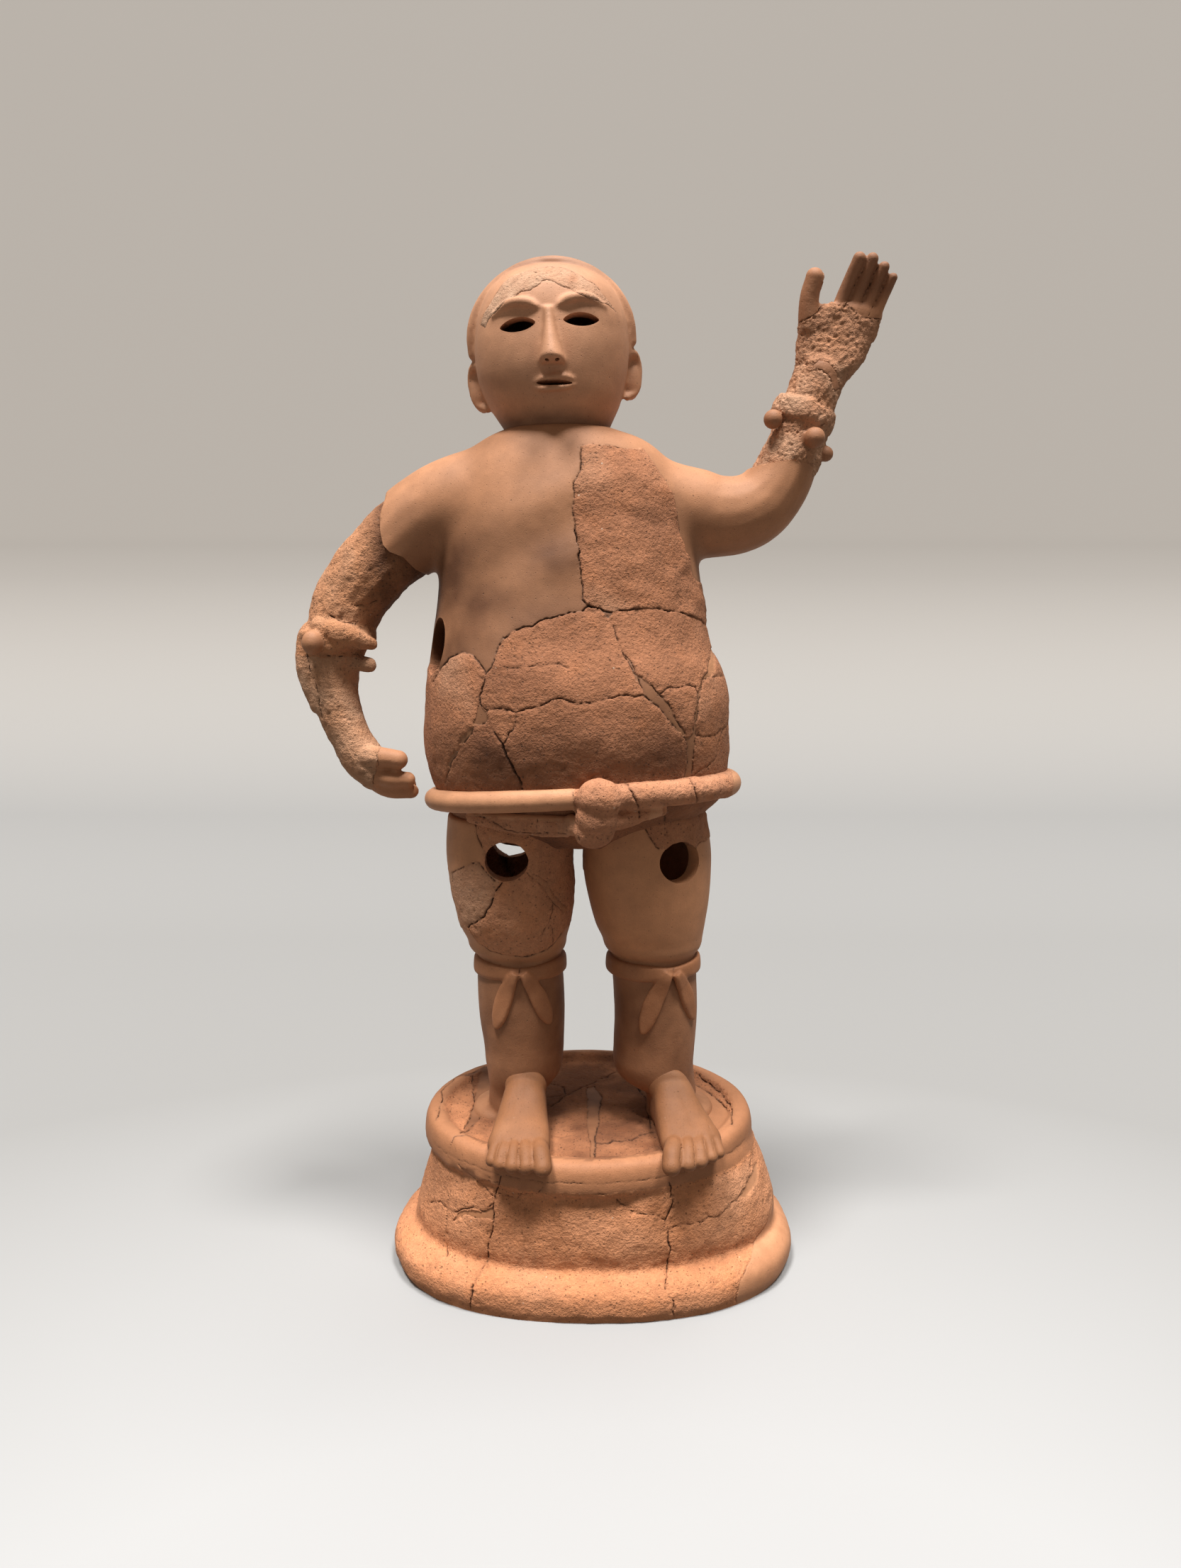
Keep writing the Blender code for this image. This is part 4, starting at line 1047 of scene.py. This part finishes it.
weather(trunk, trunk_breaks, trunk_skin, 0.75)
trunk.data.materials.append(fired_clay("trunk_clay", (0.40, 0.183, 0.089), (0.36, 0.15, 0.073)))
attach(trunk, "root")
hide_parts("haniwa_wrestler")


# ======== Belt, knot and cloth ========
# A rolled cord laid round the hips, repaired with new clay on one side, its knot a lump in
# front with the loose end under it, over the folded edge of a loincloth.

BELT_MIDDLE, BELT_HALF = (-6.5, -3, 350), (104, 78)
NEW_CORD, OLD_CORD = 7.5, 9.3       # the cord's radius
KNOT_FROM, KNOT_TO = -11, 17


def belt_spot(angle):
    """The cord round the hips, higher in front and on the side of the raised hand."""
    x, y = (middle + half * copysign(abs(way) ** 0.9, way)
            for middle, half, way in zip(BELT_MIDDLE, BELT_HALF, (cos(angle), sin(angle))))
    return (x, y, BELT_MIDDLE[2] + x * 0.056 - y * 0.08, OLD_CORD if x > 20 else NEW_CORD)


forms = roll([belt_spot(2 * pi * index / 24) for index in range(24)], closed=True)
forms += [pellet((5, -87, 357), (15, 12, 13.5)), pellet((3.5, -85, 345), (14, 11.5, 15)),
          pellet((2, -82, 335.5), (13.5, 10, 12)), pellet((-12, -77, 338), (6.5, 7, 7.5))]
forms += roll(((8, -82, 340, 6.5), (28, -75, 343, 5.5), (47, -67, 346, 4)))
forms += [strap(((-82, -50, 339, 4), (-62, -62, 337.5, 6.5), (-38, -69, 336.5, 7.5),
                 (-14, -73, 336, 7.5)), 4.5, square=3.0)]
belt = lute("belt", forms, 1.25, 1)
belt_breaks = Breaks(belt, [
    FRONT + (0.52, 2.2, [(24, 366), (28, 357), (31.5, 351.5), (33, 343)]),
    FRONT + (0.52, 2.2, [(65.5, 368), (70, 357), (70.5, 348)]),
    FRONT + (0.3, 1.2, [(-35, 344), (-35, 334), (-34, 322)]),
    FRONT + (0.45, 1.4, [(-78, 341), (-69, 340), (-61, 335), (-57, 331.5), (-41, 331), (-17, 332)]),
    FRONT + (0.45, 1.6, [(-12, 362), (-10, 350), (-9, 341), (-8, 330)]),
    FRONT + (0.3, 1.2, [(16, 352), (17, 344), (14, 334)])])


def belt_skin(points):
    x, y, z = points.T
    worn = (x > KNOT_FROM) & (x < 97) & (y < 10) | (z < 340.5) & (x < -9) & (y < -30)
    filled = inside(points, FRONT, [(40, 351), (48, 351), (46, 338), (38, 338)])
    wear = (worn & ~filled) * 1.0
    grey = inside(points, FRONT, [(-22, 345), (-9, 343), (-6, 325), (-22, 322)])
    knot = (x > KNOT_FROM) & (x < KNOT_TO)
    pale = 0.25 * noise(points, 14, 40) * wear + 0.3 * grey - 0.15 * knot
    return wear, pale, noise(points, 20, 41) * 0.8 * wear, UNBROKEN


weather(belt, belt_breaks, belt_skin, 0.8, levels=(0.6,))
belt.data.materials.append(fired_clay("belt_clay", (0.52, 0.25, 0.13), (0.48, 0.215, 0.115)))
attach(belt, "root")
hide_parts("haniwa_wrestler")


# ======== Lowered arm ========
# A tapering roll of clay from the break below the shoulder to the hand by the hip, with a
# raised cuff, two pellets of its wristlet and a hand whose fingers are new clay.

def cuff(centre, half_wide, half_deep, height, tilt):
    """A raised band round a forearm, tilted in the plane of the body."""
    rows = [(share * height, 0, 0, half_wide - inward, half_deep - inward)
            for share, inward in ((-0.5, 4.5), (-0.44, 1.2), (-0.2, 0), (0.2, 0), (0.44, 1.2),
                                  (0.5, 4.5))]
    form = coil_up(rows, around=40, steps=2)
    turn = Matrix.Translation(Vector(centre) * MM) @ Matrix.Rotation(tilt, 4, "Y")
    form.data.transform(turn)
    return form


LOWERED_BEAD = Vector((-188, -34, 455))
HAND_TOP = 391
forms = roll(((-112, 0, 538, 29), (-135, -2, 521, 27.5)) + LOWERED_ARM[4:])
forms += roll(((-191, -12, 458, 12), (-193, -14, 436, 11), (-189, -16, 412, 7)))
forms += [cuff((-176, -9, 458), 26, 25, 20, radians(-14)),
          pellet(LOWERED_BEAD, (7.2, 6.5, 8.2))]
forms += roll(((-184, -25, 466, 7), (-170, -29, 461, 8.5), (-157, -25, 456, 7), (-151, -20, 453.5, 5)))
forms += roll(((-168, -15, 441, 6), (-153, -20, 440, 5.6)))
forms += roll(((-156, -26, 377, 8.5), (-145, -30, 376.5, 7.4), (-132.5, -31, 375, 6.8)))
for x, y, z, radius in ((-127, -28, 360.5, 5.6), (-126, -22, 351.5, 5.2), (-127, -12, 350, 5.2),
                        (-130, -2, 353, 5)):
    forms += roll(((-153, y * 0.7, z + 8, radius + 2.2), (-142, y, z + 1.5, radius + 0.8),
                   (x, y, z, radius)))
lowered_arm = lute("lowered_arm", forms, 1.3, 2)
lowered_breaks = Breaks(lowered_arm, [
    FRONT + (0.38, 1.0, [(-161, 480), (-153, 480), (-146, 483)]),
    FRONT + (0.45, 1.4, [(-178, 474), (-168, 469.5), (-160, 467.5)]),
    FRONT + (0.45, 2.0, [(-194, 448), (-193, 438), (-189.5, 430), (-187, 421), (-186.5, 411),
                        (-185, 403)]),
    FRONT + (0.3, 1.0, [(-143, 389), (-145, 385), (-146, 378), (-145, 373), (-149, 366), (-150.5, 357),
                        (-150, 352)]),
    FRONT + (0.45, 1.4, [(-183, 447), (-172, 445), (-160, 447), (-157, 444)])])


def lowered_skin(points):
    x, y, z = points.T
    bead = np.linalg.norm(points - LOWERED_BEAD, axis=1) < 8.6
    new = bead | (z < HAND_TOP) & (x > -145 - np.clip((378 - z) * 0.28, 0, 8))
    wear = np.where(new, 0.05, 1.0)
    pale = (0.05 + 0.3 * noise(points, 18, 42)) * wear - 0.3 * bead
    # The upper arm's inner side towards the body is painted darker (painted shade) and the forearm below
    # the cuff lighter (painted light).
    pale -= (np.clip((x + 160) / 18, 0, 1) * (z > 465) - 0.45 * (z < 445)) * wear
    # The new fingers below the hand's top are painted darker: painted shade.
    pale -= 0.25 * new * (z < HAND_TOP)
    return wear, pale, noise(points, 24, 43) * 0.9 * wear, UNBROKEN


weather(lowered_arm, lowered_breaks, lowered_skin, 0.95, levels=(0.8, 0.2))
lowered_arm.data.materials.append(
    fired_clay("lowered_arm_clay", (0.47, 0.218, 0.109), (0.44, 0.2, 0.098), grit=1.3))
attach(lowered_arm, "root")
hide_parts("haniwa_wrestler")


# ======== Raised forearm and hand ========
# The forearm above the elbow break, very weathered, with a cuff, three wristlet pellets, a
# flat open palm, and a thumb and four fingers of new clay.

forms = roll(((112, -2, 548, 18), (124, -3, 560, 18.5)) + RAISED_ARM[6:])
forms += [cuff((145, -4, 608), 22, 21, 15, radians(20))]
raised_beads = ((122, -19, 603, 6.3), (149, -26, 590, 7.0), (160, -8, 582, 5.5))
for x, y, z, radius in raised_beads:
    forms.append(pellet((x, y, z), (radius, radius, radius)))
forms.append(coil_up(((616, 150, -5, 15, 15), (630, 154.5, -5, 19, 13.5), (640, 160, -5, 22.5, 12),
                      (656, 165, -5, 26, 10), (668, 168, -6, 27, 8.5), (675, 171, -7, 24.5, 7.5),
                      (679, 172, -7, 20, 6)), square=2.2, around=48))
forms += roll(((147, -6, 664, 8), (146, -9, 682, 6.5), (148.5, -12, 695, 5.8)))
for start, end, radius in (((163.5, 671), (176.3, 705), 4.15), ((173, 670), (185, 704.5), 4.05),
                           ((181.5, 668), (192.9, 699.5), 3.75), ((188.7, 666), (199, 693), 3.25)):
    forms += roll(((start[0], -7, start[1], radius + 0.5),
                   ((start[0] + end[0]) / 2, -11, (start[1] + end[1]) / 2, radius + 0.1),
                   (end[0], -18, end[1], radius - 0.1)))
raised_arm = lute("raised_forearm", forms, 1.0, 1)
WRIST_FILL = [(148, 638), (152, 641), (158, 639), (164, 632), (167, 624), (163, 622), (159, 629),
              (153, 634), (148, 635)]
THUMB_EDGE = [(134, 666), (138, 667), (146, 669), (150, 673), (153.5, 677)]
FINGER_EDGE = [(158, 681), (160, 679.5), (163.5, 677), (168.5, 678.5), (173, 676), (177, 672),
               (183, 668.5), (194, 668.5)]
raised_breaks = Breaks(raised_arm, [
    FRONT + (0.4, 1.2, [(131, 638), (136, 640), (143, 640), (148, 638)]),
    FRONT + (0.3, 0.8, [(136, 645), (143, 641.5)]),
    FRONT + (0.35, 1.0, WRIST_FILL + WRIST_FILL[:1]),
    FRONT + (0.4, 1.4, THUMB_EDGE),
    FRONT + (0.4, 1.2, FINGER_EDGE),
    FRONT + (0.45, 1.0, [(130, 596), (138, 594), (148, 596), (157, 600)]),
    FRONT + (0.34, 1.3, [(168, 674), (180, 700)]),
    FRONT + (0.34, 1.3, [(177.2, 672), (188.5, 699)]),
    FRONT + (0.34, 1.3, [(185, 670), (195.5, 692.5)])])


def raised_skin(points):
    x, y, z = points.T
    bead = np.zeros(len(points), bool)
    for a, b, c, radius in raised_beads:
        bead |= np.linalg.norm(points - (a, b, c), axis=1) < radius * 1.2
    new = inside(points, FRONT, THUMB_EDGE + [(153.5, 720), (130, 720)], split=40)
    new |= inside(points, FRONT, FINGER_EDGE + [(215, 668), (215, 720), (158, 720)], split=40)
    filled = inside(points, FRONT, WRIST_FILL)
    wear = np.where(new | filled | bead, 0.08, 1.0)
    ashen = np.clip(noise(points, 13, 44) + 0.35, 0, 1) * np.clip((652 - z) / 20, 0.25, 1) * 0.6
    # Beads and wrist fill are darker. The palm above 640 is a little darker: painted shade.
    pale = np.where(bead | filled, -0.4, ashen - 0.12 * (z > 640))
    # The new fingers are painted darker towards their tips and the thumb a little: painted shade.
    pale = np.where(new, np.where(x > 156, -0.7 * np.clip((z - 674) / 12, 0, 1), -0.3), pale)
    creases = np.abs(noise(points, 5.4, 52)) * 0.7 + np.abs(noise(points, 2.7, 53)) * 1.1
    rise = (noise(points, 13, 45) + 0.5 - creases) * wear + 0.5 * filled
    return wear, pale, rise, UNBROKEN


weather(raised_arm, raised_breaks, raised_skin, 0.85, levels=(0.8, 0.2), line_darkness=0.6)
raised_arm.data.materials.append(
    fired_clay("raised_arm_clay", (0.43, 0.192, 0.094), (0.44, 0.212, 0.115), grit=1.3))
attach(raised_arm, "root")
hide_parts("haniwa_wrestler")


# ======== Head, face and hair ========
# A hollow egg on a short neck with a simple face: a wedge of a nose, brows, eyes and mouth cut
# right through. The hair is a smooth cap with a thick rolled edge, and the ears are flaps.

HEAD_MIDDLE = Vector((-26, 2, 655))
HEAD_TILT = radians(-4.7)
HEAD_LEAN = Matrix.Rotation(HEAD_TILT, 3, "Y")
EYE_APART, EYE_HEIGHT, EYE_HALF_WIDE, EYE_HALF_HIGH = 20.5, 658, 11.5, 4.4
CHIN, CROWN_SHADE_FROM = 609, 690


def on_head(x, y, z):
    """A spot given for an upright head, leaned over with the head."""
    return HEAD_LEAN @ Vector((x, y, z - HEAD_MIDDLE.z)) + HEAD_MIDDLE


HEAD = ((586, 3, 2, 36, 36), (597, 3, 1, 35.5, 36), (606, 2, -1, 40, 41), (616, 1, -3, 45.5, 47),
        (630, 0, -3, 50, 51), (645, 0, -2, 52, 53), (658, 0, -1, 52, 53), (672, 0, 0, 50, 52),
        (686, 0, 1, 44, 47), (697, 0, 2, 33, 37), (703, 0, 3, 18, 22))
forms = [coil_up([(z, HEAD_MIDDLE.x + x, HEAD_MIDDLE.y + y, wide, deep)
                  for z, x, y, wide, deep in HEAD], square=2.15, around=96)]
bpy.ops.mesh.primitive_uv_sphere_add(segments=96, ring_count=64, radius=54.5 * MM,
                                     location=on_head(0, 3, 655) * MM,
                                     rotation=(0, HEAD_TILT, 0))
cap = bpy.context.object
bpy.ops.object.transform_apply(location=True, rotation=True, scale=True)
bpy.ops.object.mode_set(mode="EDIT")
for spot, facing in ((on_head(0, -7, 655), (0, -0.99, -0.14)), (on_head(0, -7, 648), (0, -0.41, -0.91))):
    bpy.ops.mesh.select_all(action="SELECT")
    bpy.ops.mesh.bisect(plane_co=spot * MM, plane_no=facing, use_fill=True, clear_outer=True)
bpy.ops.object.mode_set(mode="OBJECT")
cap.select_set(False)
forms.append(cap)
rim = []
for step in range(15):
    angle = radians(-4 + step * 188 / 14)
    end = abs(step - 7) / 7
    rim.append(tuple(on_head(54 * cos(angle), -9 + 7 * end ** 2, 656 + 49 * sin(angle)))
               + (4.6 - 1.0 * end ** 3,))
forms += roll(rim)


def bridge(points):
    """A nose drawn out in front: x is its middle; rows of height, y, half width, half depth."""
    rows = []
    for z, y, half_width, half_depth in points:
        x, lean_y, lean_z = on_head(0, y - HEAD_MIDDLE.y, z)
        rows.append((lean_z, x, lean_y, half_width, half_depth))
    return coil_up(rows, around=32)


forms.append(bridge(((631, -52, 7.6, 10), (634, -54, 8.4, 12.5), (638, -53.5, 7.6, 12.5),
                     (647, -51.5, 5.8, 10.5), (657, -49.5, 4.4, 8), (667, -48, 4.0, 6))))
BROW = ((7, -51.5, 667.5, 2.6), (15, -51.5, 671, 3.4), (25, -47, 671.5, 3.2), (35, -39, 667, 2.4))
LOWER_LIP = ((0, -52.6, 617.3, 2.1), (7, -51.6, 617.6, 2.0), (12.5, -49.4, 619, 1.4))
UPPER_LIP = ((0, -54, 623.7, 1.9), (7, -52.8, 623.6, 1.8), (12.5, -50.4, 622.2, 1.3))
EAR_EDGE = ((49, -5, 643, 2.5), (54.5, 0, 645.5, 2.5), (57.5, 5, 640, 2.5), (57.7, 6, 632, 2.5),
            (54.5, 4, 621, 2.5), (48, 0, 616.5, 2.5))
for side in (-1, 1):
    for line in (BROW, LOWER_LIP, UPPER_LIP, EAR_EDGE):
        forms += roll([tuple(on_head(side * x, y, z)) + (radius,) for x, y, z, radius in line])
    forms.append(pellet(on_head(side * 50.5, 4.5, 629.5), (8, 4.8, 14.5), HEAD_TILT))
head = lute("head", forms, 1.24, 2)

head_hollow = coil_up([(560, -23, 4, 24, 24)] + [
    (z, HEAD_MIDDLE.x + x, HEAD_MIDDLE.y + y, wide - THIN_WALL, deep - THIN_WALL)
    for z, x, y, wide, deep in HEAD if 606 <= z < 698], square=2.15, around=48, steps=2)


def almond(side):
    """An eye cutter: a leaf-shaped bar through the wall of the face."""
    outline = []
    for index in range(32):
        angle = 2 * pi * index / 32
        height = EYE_HALF_HIGH * sin(angle) * (1 - 0.35 * abs(cos(angle)) ** 3)
        outline.append((side * EYE_APART + EYE_HALF_WIDE * cos(angle), EYE_HEIGHT + height))
    form = slab(outline, -75, -18)
    turn = Matrix.Translation(HEAD_MIDDLE * MM) @ HEAD_LEAN.to_4x4() @ Matrix.Translation(
        Vector((0, -2, -HEAD_MIDDLE.z)) * MM)
    form.data.transform(turn)
    return form


mouth = bar(on_head(0, -80, 620.5), on_head(0, -20, 620.5), (11.5, 1.7))
nostrils = [bar(on_head(side * 3.4, -72, 622), on_head(side * 3.0, -58, 640), (1.3, 1.3), around=16)
            for side in (-1, 1)]
carve(head, [head_hollow, almond(-1), almond(1), mouth] + nostrils)

BROW_LOW = [(-72, 661), (-69, 659.5), (-66, 663), (-61, 666), (-58, 667.5), (-53.5, 672), (-48.5, 674.5),
            (-44.5, 677), (-38.5, 677), (-34.5, 680), (-31, 684), (-27.5, 684.5), (-22.5, 683),
            (-18.5, 680), (-12.5, 678), (-8.5, 675.5), (-4.5, 673.5), (1, 672), (8, 671.5), (12, 671.5),
            (17, 668.5)]
BROW_HIGH = [(-72, 661), (-69.5, 668), (-63.5, 676), (-58.5, 683), (-52, 688), (-46, 690), (-38.5, 691.5),
             (-31.5, 693.5), (-25.5, 694.5), (-17.5, 694), (-11.5, 691.5), (-4.5, 688), (3, 683),
             (9.5, 677), (14.5, 671)]
head_breaks = Breaks(head, [
    FRONT + (0.3, 0.7, BROW_LOW),
    FRONT + (0.3, 0.7, BROW_HIGH),
    FRONT + (0.3, 0.9, [(-38.5, 691), (-34, 689), (-31.5, 685.5), (-30.5, 684)])])


def head_skin(points):
    x, y, z = points.T
    sherd = inside(points, FRONT, BROW_HIGH[:-1] + BROW_LOW[:0:-1], split=-10)
    wear = np.where(sherd, 0.7, 0.0)
    pale = sherd * (np.where(x < -31, 0.7, 0.45) + 0.25 * noise(points, 9, 54))
    pale -= 0.6 * np.exp(-((x + 11.5) ** 2 + (z - 686) ** 2) / 5) * sherd
    # The neck below the chin is painted darker: painted shade under the chin.
    pale -= 0.7 * np.clip((CHIN - z) / 8, 0, 1)
    # Above the forehead sherd the crown is painted darker: painted shade that tones down the light from
    # above.
    pale -= 0.6 * np.clip((z - CROWN_SHADE_FROM) / 12, 0, 1) * (sherd < 1)
    return wear, pale, sherd * 0.3, UNBROKEN


weather(head, head_breaks, head_skin, 0.6, levels=(0.8, 0.2))
head.data.materials.append(fired_clay("head_clay", (0.53, 0.262, 0.145), (0.44, 0.21, 0.118)))
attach(head, "root")
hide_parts("haniwa_wrestler")
